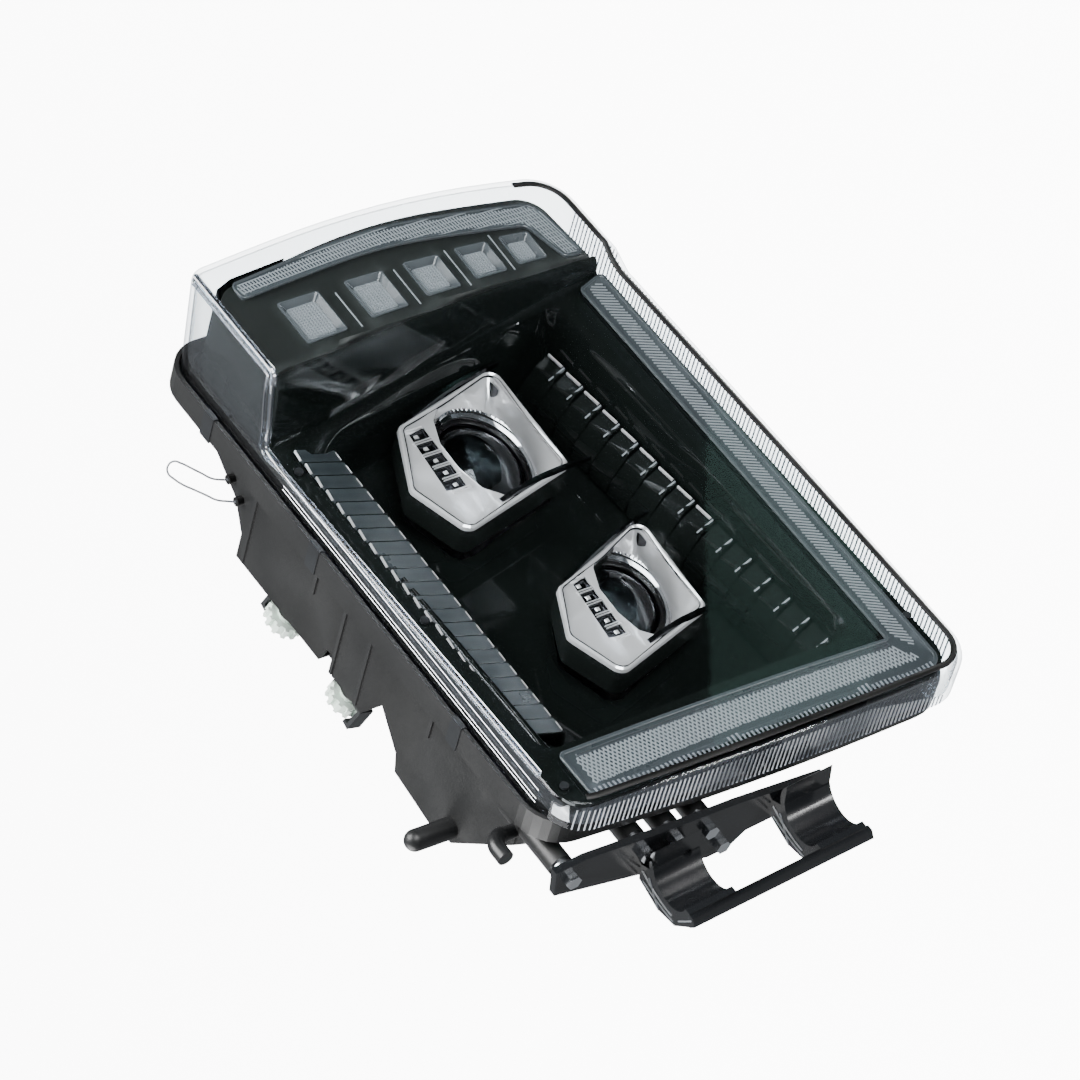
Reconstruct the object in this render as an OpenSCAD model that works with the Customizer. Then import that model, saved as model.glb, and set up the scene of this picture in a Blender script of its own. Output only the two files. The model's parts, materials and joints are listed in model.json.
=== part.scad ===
// Truck headlight assembly, left-hand lamp as seen from the driver's seat.
// Row frame: the lamp as it is mounted. -Y is the driving direction, +Z is up and
// +X is the outer (turn-signal) end. The origin is the middle of the hinge tube.
// Lens frame (a, b, h): a runs along the lens to the outer end, b runs up it and
// h points out of it. Its zero is the lens rim's top corner at the inner end.

/* [Attitude] */
// Sweep of the lens plane back towards the outer end, in degrees
sweep = 13.5; // [8:0.5:18]
// Rake of the lens plane back at its top, in degrees
rake = 13; // [8:0.5:16]

/* [Lens] */
// Length of the lens rim along its top edge
lens_len = 506; // [496:1:516]
// Height of the lens at its inner end
lens_high = 350; // [346:1:356]
// Height of the lens at its outer end
outer_high = 312; // [308:1:316]
// Wall thickness of the clear lens
lens_wall = 3; // [2.5:0.5:3.5]
// Rise of the turn-signal brow above the rim
brow_rise = 76; // [72:1:80]
// Crown of the brow across its middle
brow_crown = 10; // [6:1:12]

/* [Housing] */
// Wall thickness of the housing
wall = 3; // [2.5:0.5:3.5]
// Depth of the housing's rear wall behind the rim
rear_depth = 112; // [110:1:116]
// Depth of the shelf that carries the adjusters
shelf_depth = 100; // [98:1:102]

/* [Projectors] */
// Radius of the low beam's glass lens
low_r = 38; // [36:0.5:38]
// Radius of the high beam's glass lens
high_r = 32; // [30:0.5:33]

/* [Hinge bracket] */
// Radius of the hinge tube that the two saddles clip round
tube_r = 19.5; // [19:0.5:20]
// Wall of each saddle
saddle_wall = 5; // [4:0.5:6]

/* [Hidden] */
$fn = 64;

tube_mid = [-36, -148, -28];     // hinge tube's middle, in the lens frame
bracket_tilt = 10;               // lean of the hinge tube out of the lens plane
low_mid = [338, -163, -25];      // low beam lens seat, in the lens frame
high_mid = [185, -181, -25];     // high beam lens seat, in the lens frame
brow_foot = 384;                 // a of the brow step's foot at the top edge
step_lean = 8;                   // how far the step leans over its height
foot_inset = 18;                 // inner end of the lens foot, set back under it
rim_floor = -24;                 // underside of the housing's rim channel

// ---------- frames ----------
function turn_x(v, t) = [v[0], v[1] * cos(t) - v[2] * sin(t), v[1] * sin(t) + v[2] * cos(t)];
function turn_z(v, t) = [v[0] * cos(t) - v[1] * sin(t), v[0] * sin(t) + v[1] * cos(t), v[2]];
function to_row(p) = turn_z(turn_x(turn_x(p - tube_mid, 90), -rake), sweep);

module lens_frame() {
    rotate([0, 0, sweep]) rotate([-rake, 0, 0]) rotate([90, 0, 0])
        translate(-tube_mid) children();
}

// Tube frame: z runs down the hinge tube, x to the outer end, y forwards.
module tube_frame() {
    lens_frame() translate(tube_mid) rotate([90 - bracket_tilt, 0, 0]) children();
}

// Extrude an (a, h) profile down the lens from b = top.
module down_lens(top, len) {
    translate([0, top, 0]) rotate([90, 0, 0]) linear_extrude(len) children();
}

// ---------- outlines ----------
function unit(v) = v / norm(v);
function corner(p, q, s, n = 7) =
    let (u = unit([p[0] - q[0], p[1] - q[1]]), w = unit([s[0] - q[0], s[1] - q[1]]),
         half = acos(u * w) / 2, mid = unit(u + w), reach = q[2] / sin(half),
         turn = u[1] * w[0] - u[0] * w[1] > 0 ? 1 : -1, base = atan2(-mid[1], -mid[0]))
    [for (i = [0:n]) let (t = base + turn * (180 - 2 * half) * (i / n - 0.5))
        [q[0] + mid[0] * reach + q[2] * cos(t), q[1] + mid[1] * reach + q[2] * sin(t)]];
function rounded(pts) = let (n = len(pts))
    [for (i = [0:n - 1]) each corner(pts[(i + n - 1) % n], pts[i], pts[(i + 1) % n])];

// Lens outline, inset by t; back sets the inner end back by that much.
function lens_outline(t, back = 0) = rounded([
    [back + t, -t, 26 - t], [lens_len - t, -t, 28 - t],
    [lens_len + 8 - t, -165, 1200], [lens_len - 8 - t, -outer_high + t, 34 - t],
    [back + t, -lens_high + t, 30 - t], [back - 8 + t, -176, 2400]]);

module ring(outer, inner, low, high) {
    translate([0, 0, low]) linear_extrude(high - low) difference() {
        polygon(outer);
        polygon(inner);
    }
}
module slab(pts, low, high) translate([0, 0, low]) linear_extrude(high - low) polygon(pts);

// ---------- lens face ----------
function mix(p, q, t) = p + (q - p) * t;
function edge_h(a) = 32 + 0.088 * a;
function main_h(a, t) = mix(25 - 0.034 * a, edge_h(a), t) + 4 * sin(180 * max(0, min(1, t)));
function brow_h(a, t) = mix(brow_rise, edge_h(a), t) + brow_crown * sin(180 * max(0, min(1, t)));
face_rows = [-0.06, 0, 0.12, 0.25, 0.38, 0.5, 0.62, 0.75, 0.88, 1, 1.06];

// One row of the face across a, at the fraction t down the lens, sunk by drop.
function face_row(t, drop) =
    let (foot = brow_foot + 32 * t + 0.6 * drop, top = foot + step_lean - 3 * t,
         flat = [-40, 100, 220, 320, foot], high = [top, 430, 470, 500, 540])
    [for (a = flat) [a, -t * lens_high, main_h(a, t) - drop],
     for (a = high) [a, -t * lens_high, brow_h(a, t) - drop]];

// Everything below the lens face when that face is sunk by drop.
module under_face(drop, base = -60) {
    rows = [for (t = face_rows) face_row(t, drop)];
    m = len(rows[0]);
    n = len(rows);
    top = [for (r = rows) each r];
    low = [for (p = top) [p[0], p[1], base]];
    k = m * n;
    polyhedron(points = concat(top, low), convexity = 6, faces = concat(
        [for (j = [0:n - 2], i = [0:m - 2]) let (q = j * m + i) each
            [[q, q + 1, q + m + 1], [q, q + m + 1, q + m]]],
        [for (j = [0:n - 2], i = [0:m - 2]) let (q = k + j * m + i) each
            [[q, q + m + 1, q + 1], [q, q + m, q + m + 1]]],
        [for (i = [0:m - 2]) each [[i, k + i + 1, i + 1], [i, k + i, k + i + 1]]],
        [for (i = [0:m - 2]) let (q = (n - 1) * m + i) each
            [[q, q + 1, k + q + 1], [q, k + q + 1, k + q]]],
        [for (j = [0:n - 2]) let (q = j * m) each
            [[q, q + m, k + q + m], [q, k + q + m, k + q]]],
        [for (j = [0:n - 2]) let (q = j * m + m - 1) each
            [[q, k + q + m, q + m], [q, k + q, k + q + m]]]));
}

// A sheet of the face between two depths, trimmed to an outline.
module face_sheet(near, far, pts) {
    difference() {
        intersection() {
            under_face(near);
            slab(pts, -50, 100);
        }
        under_face(far, -70);
    }
}

// ---------- lens and its seals ----------
module outer_lens() color([0.85, 0.88, 0.9, 0.4]) lens_frame() {
    difference() {
        union() {
            intersection() {
                under_face(0);
                slab(lens_outline(0), 0, 100);
            }
            slab(lens_outline(0, foot_inset), -14, 1);
        }
        intersection() {
            under_face(lens_wall);
            slab(lens_outline(lens_wall), lens_wall, 100);
        }
        slab(lens_outline(lens_wall, foot_inset), -15, lens_wall + 1);
    }
}

module lens_sealant() color([0.12, 0.12, 0.12]) lens_frame()
    ring(lens_outline(-0.7, foot_inset), lens_outline(4.5, foot_inset), -17.9, -14.1);

// Black bead on the face along the bottom edge and the inner end.
module lens_edge_bead() color([0.03, 0.03, 0.03]) lens_frame() {
    difference() {
        intersection() {
            under_face(-1.4);
            ring(lens_outline(7), lens_outline(10.5), 10, 100);
            slab([[0, -16], [250, -60], [515, -290], [515, -360], [-20, -360], [-20, -16]], 0, 100);
        }
        under_face(0, -70);
    }
}

// ---------- housing ----------
shelf_profile = [[24, -2], [24, -30], [49, -58], [104, -112], [130, -118], [176, -112],
    [180, -97], [206, -74], [224, -shelf_depth], [390, -shelf_depth], [390, -78],
    [405, -56], [452, -30], [498, -24], [498, -2]];
shelf_inside = [[29, 10], [29, -29], [53, -56], [106, -108.5], [130, -114.5], [173, -109.5],
    [176.5, -95.5], [206, -69.5], [226, 3 - shelf_depth], [387, 3 - shelf_depth], [387, -77],
    [402.5, -53.5], [450.5, -27], [494, -21], [494, 10]];
main_profile = [[24, -2], [24, -30], [49, -58], [104, -rear_depth], [390, -rear_depth],
    [404, -60], [452, -30], [498, -24], [498, -2]];
main_inside = [[29, 10], [29, -29], [53, -56], [106, 3 - rear_depth], [387, 3 - rear_depth],
    [401, -57.5], [450.5, -27], [494, -21], [494, 10]];
shelf_b = -62;                   // b where the shelf meets the deeper rear wall
low_cap_mid = [330, -146];       // rear cap centres (a, b)
high_cap_mid = [190, -170];
cap_r = 48;                      // inner radius of the cap necks

module housing_solid() {
    intersection() {
        down_lens(-6, -6 - shelf_b + 1) polygon(shelf_profile);
        slab(lens_outline(5.6, foot_inset), -130, 0);
    }
    intersection() {
        down_lens(shelf_b, 290) polygon(main_profile);
        slab(lens_outline(13, 12), -130, 0);
        // the floor rises towards the bottom edge
        rotate([90, 0, 90]) linear_extrude(520)
            polygon([[-40, 5], [-40, -130], [-268, -130], [-345, -40], [-345, 5]]);
    }
}
module housing_hollow() {
    intersection() {
        down_lens(-9, -9 - shelf_b + 4) polygon(shelf_inside);
        slab(lens_outline(8.6, foot_inset), -130, 20);
    }
    intersection() {
        down_lens(shelf_b - wall, 290) polygon(main_inside);
        slab(lens_outline(16, 14), -130, 20);
        rotate([90, 0, 90]) linear_extrude(520)
            polygon([[-60, 15], [-60, -125], [-266.5, -125], [-341, -38], [-341, 15]]);
    }
}

// Boss centres on the inner end, as (y, z) in the tube frame.
bosses = [[12, -134], [1, -74], [-5, -46], [-9, -20], [-33, -8]];
boss_r = 9;

module at_pivots(mid, half) {
    p = to_row(mid);
    for (side = [-1, 1]) translate([p[0] + side * (half + 9), p[1] + pivot_back, p[2]])
        children();
}
module pivot_post() {
    rotate([0, 90, 0]) cylinder(r = 9, h = 8, center = true);
    translate([-4, -9, -70]) cube([8, 18, 70]);
    translate([-4, -9, -70]) cube([8, 99, 16]);
}
module pivot_bore() rotate([0, 90, 0]) cylinder(r = trunnion_r + 0.08, h = 20, center = true);

// Three strap ribs and the recesses of the housing's top wall.
module top_relief() {
    for (a = [46, 152, 300]) down_lens(-4.5, 2) polygon([[a, -30], [a + 3, -30],
        [a + 3, -54], [a, -54]]);
    for (a = [230, 262, 380]) down_lens(-4.5, 2) polygon([[a, -30], [a + 3, -30],
        [a + 3, -shelf_depth + 2], [a, -shelf_depth + 2]]);
}

module rear_housing() color([0.08, 0.08, 0.085]) difference() {
    union() {
        difference() {
            housing_shell();
            lens_frame() housing_cuts();
        }
        intersection() {
            union() {
                at_pivots(low_mid, low_half) pivot_post();
                at_pivots(high_mid, high_half) pivot_post();
            }
            lens_frame() housing_solid();
        }
    }
    at_pivots(low_mid, low_half) pivot_bore();
    at_pivots(high_mid, high_half) pivot_bore();
    tube_frame() for (p = bosses) translate([plate_out, p[0], p[1]])
        rotate([0, 90, 0]) cylinder(r = 3.1, h = 30);
    for (m = [[low_mid, low_rod], [high_mid, high_rod]]) rod_line(m[0], m[1])
        translate([0, 0, 20]) cylinder(r = rod_r + 0.5, h = 90);
}

module housing_shell() {
    lens_frame() {
        housing_solid();
        // rim with its sealant channel
        difference() {
            slab(lens_outline(-4.5, foot_inset), rim_floor, -4);
            slab(lens_outline(-1.2, foot_inset), -18, 0);
        }
        ring(lens_outline(5.2, foot_inset), lens_outline(9, foot_inset), rim_floor, -9);
        top_relief();
        for (c = [low_cap_mid, high_cap_mid]) translate([c[0], c[1], -rear_depth - 12])
            cylinder(r = cap_r + 4, h = 14);
        translate([430, -260, -62]) cylinder(r = 11, h = 40);
    }
    tube_frame() for (p = bosses) translate([plate_out + 6, p[0], p[1]])
        rotate([0, 90, 0]) cylinder(r = boss_r, h = 62);
    for (m = [[low_mid, low_rod], [high_mid, high_rod]]) rod_line(m[0], m[1])
        translate([0, 0, rod_run(m[0], m[1]) - 6]) cylinder(r = 10, h = 14.6);
}

module housing_cuts() {
    housing_hollow();
    slab(lens_outline(9, foot_inset), -23.5, 5);
    for (c = [low_cap_mid, high_cap_mid]) translate([c[0], c[1], -rear_depth - 13])
        cylinder(r = cap_r, h = 20);
    // notch between the two adjuster shelves
    down_lens(-5, 10) polygon([[262, -shelf_depth - 1], [280, -shelf_depth - 1],
        [274, -84], [266, -84]]);
    for (s = [[108, -100], vent_spot]) translate([s[0], -2, s[1]]) rotate([90, 0, 0])
        cylinder(r = 5.05, h = 12);
    for (g = grommet_spots) translate([g[0], -2, g[1]]) rotate([90, 0, 0])
        cylinder(r = 2.6, h = 12);
    translate([connector_spot[0], connector_spot[1], -rear_depth - 2])
        cube([34, 22, 20], center = true);
    translate([430, -260, -63]) cylinder(r = 4, h = 18);
    for (p = driver_holes) translate([p[0], p[1], -rear_depth - 1])
        cylinder(r = 1.8, h = 8);
}

// ---------- aiming ----------
pivot_back = 53;                 // trunnion axis behind the lens seat
trunnion_r = 4;
low_half = 38;                   // half width of each frame at its trunnions
high_half = 36;
low_rod = [-31, 122];            // adjuster ball from the lens seat, in X and Z
high_rod = [36, 140];
rod_r = 3;
ball_r = 6;

// A frame whose z runs back along a rod and whose zero is the rod's ball.
module rod_line(mid, rod) {
    p = to_row(mid);
    translate([p[0] + rod[0], p[1] + pivot_back, p[2] + rod[1]]) rotate([-90, 0, 0])
        children();
}
// Distance from a ball back to the outside of the shelf's rear wall.
function rod_run(mid, rod) = let (p = to_row(mid),
    q = to_lens([p[0] + rod[0], p[1] + pivot_back, p[2] + rod[1]]))
    (q[2] + shelf_depth) / (cos(rake) * cos(sweep));
function to_lens(q) = turn_x(turn_x(turn_z(q, -sweep), rake), -90) + tube_mid;

module adjuster_rod(mid, rod) color([0.75, 0.76, 0.78]) rod_line(mid, rod) {
    sphere(r = ball_r);
    cylinder(r = rod_r, h = rod_run(mid, rod) + 26);
}
module adjuster_knob(mid, rod) color([0.88, 0.93, 0.88]) rod_line(mid, rod)
    translate([0, 0, rod_run(mid, rod) + 9]) difference() {
        union() {
            cylinder(r = 8, h = 4);
            translate([0, 0, 4]) cylinder(r = 13, h = 8);
            for (t = [0:30:330]) rotate([0, 0, t]) translate([12.5, -1.6, 4]) cube([3, 3.2, 8]);
            translate([0, 0, 12]) cylinder(r = 7, h = 7, $fn = 6);
        }
        translate([0, 0, -1]) cylinder(r = rod_r + 0.3, h = 22);
    }
module low_adjuster_rod() adjuster_rod(low_mid, low_rod);
module high_adjuster_rod() adjuster_rod(high_mid, high_rod);
module low_adjuster_knob() adjuster_knob(low_mid, low_rod);
module high_adjuster_knob() adjuster_knob(high_mid, high_rod);

// Black spring tabs that hold each knob to the shelf.
module adjuster_tabs() color([0.05, 0.05, 0.05])
    for (m = [[low_mid, low_rod, 1], [high_mid, high_rod, -1]]) rod_line(m[0], m[1])
        translate([0, 0, rod_run(m[0], m[1]) + 6]) rotate([0, 0, m[2] > 0 ? 0 : 180]) {
            translate([10.3, -6, 0]) cube([9.8, 12, 2.6]);
            translate([17, -6, 0]) cube([3.1, 12, 20]);
            translate([13, -6, 17]) cube([7.1, 12, 3]);
        }

// Carrier frame: ring, trunnions, and an arm up to the adjuster's ball socket.
module aim_frame(mid, half, r, rod) color([0.35, 0.36, 0.37]) {
    p = to_row(mid);
    translate([p[0], p[1] + pivot_back, p[2]]) {
        difference() {
            union() {
                rotate([90, 0, 0]) cylinder(r = r + 6, h = 6, center = true);
                translate([-half, -3, -7]) cube([2 * half, 6, 14]);
                rotate([90, 0, 0]) linear_extrude(6, center = true) polygon([[-14, 20], [14, 20],
                    [rod[0] + 7, rod[1] - 4], [rod[0] - 7, rod[1] - 4]]);
                translate([rod[0], 0, rod[1]]) sphere(r = ball_r + 4);
            }
            rotate([90, 0, 0]) cylinder(r = r, h = 20, center = true);
            translate([rod[0], 0, rod[1]]) sphere(r = ball_r + 0.35);
            translate([rod[0], 0, rod[1]]) rotate([-90, 0, 0]) cylinder(r = 5.2, h = 12);
        }
        for (side = [-1, 1]) translate([side * (half - 1), 0, 0]) rotate([0, side * 90, 0])
            cylinder(r = trunnion_r, h = 13.5);
    }
}
module low_frame() aim_frame(low_mid, low_half, 34.2, low_rod);
module high_frame() aim_frame(high_mid, high_half, 29.2, high_rod);

// Optic frame: z runs back from the lens seat along the optical axis.
module optic_frame(mid) translate(to_row(mid)) rotate([-90, 0, 0]) children();

module barrel(r, seat) rotate_extrude() polygon([[r + 3, -2], [r + 3, 3], [seat, 12],
    [seat, 54], [seat - 3, 54], [seat - 3, 13], [r - 1, 3], [r - 1, 1], [r + 0.5, 1],
    [r + 0.5, -2]]);
module low_barrel() color([0.3, 0.3, 0.32]) optic_frame(low_mid) barrel(low_r, 34);
module high_barrel() color([0.3, 0.3, 0.32]) optic_frame(high_mid) barrel(high_r, 29);

// Plano-convex lens: a spherical cap of height rise on a short edge.
module glass_lens(r, rise) {
    ball = (r * r + rise * rise) / (2 * rise);
    intersection() {
        translate([0, 0, ball - rise - 2.4]) sphere(r = ball, $fn = 96);
        translate([0, 0, -rise - 5]) cylinder(r = r, h = rise + 5.8);
    }
}
module low_glass_lens() color([0.5, 0.6, 0.65, 0.5]) optic_frame(low_mid)
    glass_lens(low_r, 18);
module high_glass_lens() color([0.5, 0.6, 0.65, 0.5]) optic_frame(high_mid)
    glass_lens(high_r, 15);

module lens_ring(r) rotate_extrude() polygon([[r - 1.2, -6.5], [r + 4, -6.5], [r + 6, -4],
    [r + 6, 1], [r + 3.4, 1], [r + 3.4, -2.4], [r + 0.4, -2.4], [r + 0.4, -4.9], [r - 1.2, -4.9]]);
module low_lens_ring() color([0.05, 0.05, 0.05]) optic_frame(low_mid) lens_ring(low_r);
module high_lens_ring() color([0.05, 0.05, 0.05]) optic_frame(high_mid) lens_ring(high_r);

// Cast heat sink: a disc that closes the barrel, a plinth and cooling fins.
module heat_sink(r) {
    translate([0, 0, 54.2]) cylinder(r = r, h = 4);
    for (i = [-3:3]) translate([i * 8 - 1, -sqrt(r * r - i * i * 64) + 1, 58.1])
        cube([2, 2 * sqrt(r * r - i * i * 64) - 2, 12]);
    translate([-10, -12, 46]) cube([20, 24, 8.3]);
}
module low_heat_sink() color([0.6, 0.61, 0.63]) optic_frame(low_mid) heat_sink(30);
module high_heat_sink() color([0.6, 0.61, 0.63]) optic_frame(high_mid) heat_sink(27);
module led_board() {
    translate([-9, -10, 44.4]) cube([18, 20, 1.5]);
    translate([-6, -1.5, 43.4]) cube([12, 3, 1]);
}
module low_led_board() color([0.9, 0.9, 0.85]) optic_frame(low_mid) led_board();
module high_led_board() color([0.9, 0.9, 0.85]) optic_frame(high_mid) led_board();

// Cut-off shield: a half disc with the step that shapes the low beam.
module low_cutoff_shield() color([0.4, 0.4, 0.42]) optic_frame(low_mid)
    translate([0, 0, 22]) linear_extrude(1) intersection() {
        circle(r = 30.6);
        polygon([[-40, 40], [-40, 0], [-4, 0], [4, 4], [40, 4], [40, 40]]);
    }

// Shroud rims (a, b) from each lens seat, clockwise from the outer top corner.
low_rim = [[34, 55], [62, -47], [-46, -43], [-75, 65], [-25, 82]];
high_rim = [[8, 56], [45, -42], [-49, -36], [-79, 59], [-35, 76]];
function grown(pts, t) = let (n = len(pts)) [for (i = [0:n - 1])
    let (u = unit(pts[(i + n - 1) % n] - pts[i]), w = unit(pts[(i + 1) % n] - pts[i]),
         d = (u + w) / abs(u[0] * w[1] - u[1] * w[0])) pts[i] - d * t];

// Shroud: an angular collar round the glass lens, open at the front and the back.
module shroud(mid, rim, r) lens_frame() translate([mid[0], mid[1], 0]) difference() {
    union() {
        slab(rim, -17, 8);
        slab(grown(rim, 2.5), 4, 8);
    }
    slab(grown(rim, -3), -14, 9);
    translate([0, 0, mid[2]]) rotate([rake, 0, 0]) rotate([0, -sweep, 0])
        cylinder(r = r + 6.5, h = 60, center = true);
}
module low_shroud() color([0.9, 0.9, 0.92]) shroud(low_mid, low_rim, low_r);
module high_shroud() color([0.9, 0.9, 0.92]) shroud(high_mid, high_rim, high_r);

// ---------- main bezel and its trims ----------
bezel_floor = -33.8;
tray = [[62, -24, 14], [378, -24, 14], [414, -262, 14], [62, -286, 14]];
tray_in = [[64.5, -26.5, 12], [375.5, -26.5, 12], [411, -259.5, 12], [64.5, -283.5, 12]];
bezel_edge = [[10, -12, 16], [391, -12, 4], [418.5, -306, 6], [10, -338, 22]];
drl_bar = [[15, -30, 4], [54, -30, 4], [46, -303, 3], [408, -283, 3], [414, -304, 3],
    [15, -328, 10]];
drl_window = [[20, -36, 3], [47, -36, 3], [41, -308, 3], [404, -287, 3], [406, -300, 3],
    [20, -322, 8]];
screw_spots = [[30, -18], [200, -18], [360, -18], [60, -330]];

module main_bezel() color([0.02, 0.02, 0.022]) lens_frame() difference() {
    union() {
        difference() {
            face_sheet(12, 14.5, rounded(bezel_edge));
            slab(rounded(tray), -60, 100);
        }
        difference() {
            intersection() {
                under_face(12);
                ring(rounded(tray), rounded(tray_in), bezel_floor, 100);
            }
        }
        slab(rounded(tray), bezel_floor, bezel_floor + 2.5);
    }
    // room under the louvre for the adjuster arms
    rotate([90, 0, 90]) linear_extrude(420)
        polygon([[-20, -50], [-20, -1], [-25, -1], [-26.9, 2.6], [-66.2, -30.4], [-66.2, -50]]);
    slab(rounded(drl_window), -10, 100);
    for (m = [[low_mid, low_r], [high_mid, high_r]]) translate(m[0])
        rotate([rake, 0, 0]) rotate([0, -sweep, 0])
            cylinder(r = m[1] + 12, h = 60, center = true);
}

// Slatted wall along the top of the tray.
louvre_n = 21;
module upper_louvre() color([0.1, 0.1, 0.1]) lens_frame() {
    translate([84, 0, 0]) rotate([90, 0, 90]) linear_extrude(284)
        polygon([[-27, 6], [-29.5, 6], [-66, -27], [-66, -30], [-64, -30], [-27, 3]]);
    for (i = [0:louvre_n - 1]) translate([86 + i * 14, 0, 0]) rotate([90, 0, 90])
        linear_extrude(2) polygon([[-28, 4], [-31, 7.5], [-68, -26], [-66, -29]]);
}

// Row of stepped blocks along the bottom of the tray.
teeth_n = 14;
teeth_angle = atan2(24, 338);
module lower_teeth() color([0.5, 0.5, 0.52]) lens_frame() translate([70, -274, 0])
    rotate([0, 0, teeth_angle]) {
        translate([0, -5.5, -12]) cube([316, 5, 20]);
        for (i = [0:teeth_n - 1]) translate([4 + i * 22.5, -1, -8]) cube([12, 9, 14]);
    }

module drl_light_guide() color([0.75, 0.77, 0.8]) lens_frame()
    face_sheet(8.8, 11.6, rounded(drl_bar));
module drl_led_board() color([0.85, 0.86, 0.84]) lens_frame() {
    slab(rounded([[22, -290, 3], [400, -290, 3], [400, -298, 3], [22, -318, 3]]), 4, 5.6);
    slab(rounded([[24, -40, 3], [44, -40, 3], [44, -286, 3], [24, -286, 3]]), 4, 5.6);
}
module bezel_screws() color([0.3, 0.3, 0.3]) lens_frame() for (s = screw_spots) {
    h = main_h(s[0], -s[1] / lens_high) - 11;
    translate([s[0], s[1], h]) cylinder(r = 3.2, h = 2.2);
}

// ---------- turn signal in the brow ----------
signal_edge = [[393, -14, 4], [488, -14, 20], [506, -150, 500], [492, -292, 22],
    [420.5, -302, 8]];
square_n = 5;
square_b = [-67, -122, -171, -215, -254];
square_w = [40, 36, 32, 29, 26];     // along a
square_h = [33, 31, 29, 27, 25];     // along b
square_a = 440;
guide_bar = [[474, -30, 4], [489, -30, 4], [498, -150, 400], [484, -286, 16], [430, -296, 4],
    [430, -280, 4], [466, -268, 10], [480, -150, 400]];
guide_window = [[477, -36, 2], [486, -36, 2], [494, -150, 400], [478, -281, 12],
    [434, -292, 2], [434, -284, 2], [471, -272, 8], [484, -150, 400]];

module square_cut(i, grow, low, high) {
    h = brow_h(square_a, -square_b[i] / lens_high) - 14;
    translate([square_a + 2 * i, square_b[i], h + (low + high) / 2])
        cube([square_w[i] + grow, square_h[i] + grow, high - low], center = true);
}
module signal_bezel() color([0.12, 0.12, 0.125]) lens_frame() difference() {
    face_sheet(14, 17, rounded(signal_edge));
    for (i = [0:square_n - 1]) square_cut(i, 0.8, -20, 20);
    slab(rounded(guide_window), 0, 100);
}
module signal_light_guide() color([0.8, 0.81, 0.83]) lens_frame()
    face_sheet(11, 13.7, rounded(guide_bar));
module signal_optics() color([0.75, 0.77, 0.8]) lens_frame()
    for (i = [0:square_n - 1]) square_cut(i, 0, -6, 1.5);
module signal_led_board() color([0.85, 0.86, 0.84]) lens_frame() {
    for (i = [0:square_n - 1]) square_cut(i, -4, -11, -9.4);
    slab([[444, -50], [456, -50], [464, -260], [452, -260]], 42, 43.6);
}

// ---------- rear caps ----------
module rear_cap(c) color([0.06, 0.06, 0.06]) lens_frame()
    translate([c[0], c[1], -rear_depth - 16]) difference() {
        union() {
            cylinder(r = cap_r + 8, h = 12);
            translate([-30, -5, -5]) cube([60, 10, 6]);
            for (t = [0:20:340]) rotate([0, 0, t]) translate([cap_r + 7, -4, 0])
                cube([3.5, 8, 12]);
        }
        translate([0, 0, 3]) cylinder(r = cap_r + 4.4, h = 12);
    }
module low_rear_cap() rear_cap(low_cap_mid);
module high_rear_cap() rear_cap(high_cap_mid);
module cap_seals() color([0.1, 0.1, 0.1]) lens_frame()
    for (c = [low_cap_mid, high_cap_mid]) translate([c[0], c[1], -rear_depth - 12.6])
        difference() {
            cylinder(r = cap_r - 0.4, h = 8);
            translate([0, 0, -1]) cylinder(r = cap_r - 5, h = 10);
        }

// ---------- fittings on the top wall ----------
module locating_peg() color([0.06, 0.06, 0.06]) lens_frame() translate([108, -6, -100])
    rotate([-90, 0, 0]) {
        cylinder(r = 8, h = 30);
        translate([0, 0, 30]) sphere(r = 8);
        translate([0, 0, -8]) cylinder(r = 5, h = 9);
    }
vent_spot = [50, -44];           // (a, h) of the vent elbow
module vent_elbow() color([0.07, 0.07, 0.07]) lens_frame()
    translate([vent_spot[0], -6, vent_spot[1]]) {
        rotate([-90, 0, 0]) translate([0, 0, -7]) cylinder(r = 5, h = 17);
        translate([-10, 10, 0]) rotate_extrude(angle = 90) translate([10, 0]) circle(r = 6);
        translate([-10, 20, 0]) rotate([0, -90, 0]) cylinder(r = 6, h = 9);
    }
grommet_spots = [[412, -43], [398, -52]];
module wire_grommets() color([0.04, 0.04, 0.04]) lens_frame()
    for (g = grommet_spots) translate([g[0], -10, g[1]]) rotate([-90, 0, 0]) difference() {
        union() {
            cylinder(r = 2.5, h = 4);
            translate([0, 0, 4]) cylinder(r = 3.6, h = 5);
        }
        translate([0, 0, -1]) cylinder(r = wire_r + 0.2, h = 12);
    }

// Link wire: out of one grommet, round a loose loop and back into the other.
wire_r = 0.8;
wire_points = [[412, -8, -43], [412, -2, -43], [413, 4, -42], [415, 11, -40], [419, 18, -36],
    [423, 25, -32], [427, 31, -29], [430, 36, -28], [430, 40, -31], [427, 41, -35],
    [423, 38, -38], [418, 33, -41], [413, 26, -44], [408, 19, -47], [403, 12, -50],
    [400, 5, -51], [398, -2, -52], [398, -8, -52]];
wire_sides = 8;
function wire_spot(s) = let (n = len(wire_points), i = min(n - 2, floor(s)), f = s - i,
    p0 = wire_points[max(0, i - 1)], p1 = wire_points[i], p2 = wire_points[i + 1],
    p3 = wire_points[min(n - 1, i + 2)])
    0.5 * (2 * p1 + (p2 - p0) * f + (2 * p0 - 5 * p1 + 4 * p2 - p3) * f * f
        + (3 * p1 - p0 - 3 * p2 + p3) * f * f * f);
wire_rings = 52;
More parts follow.
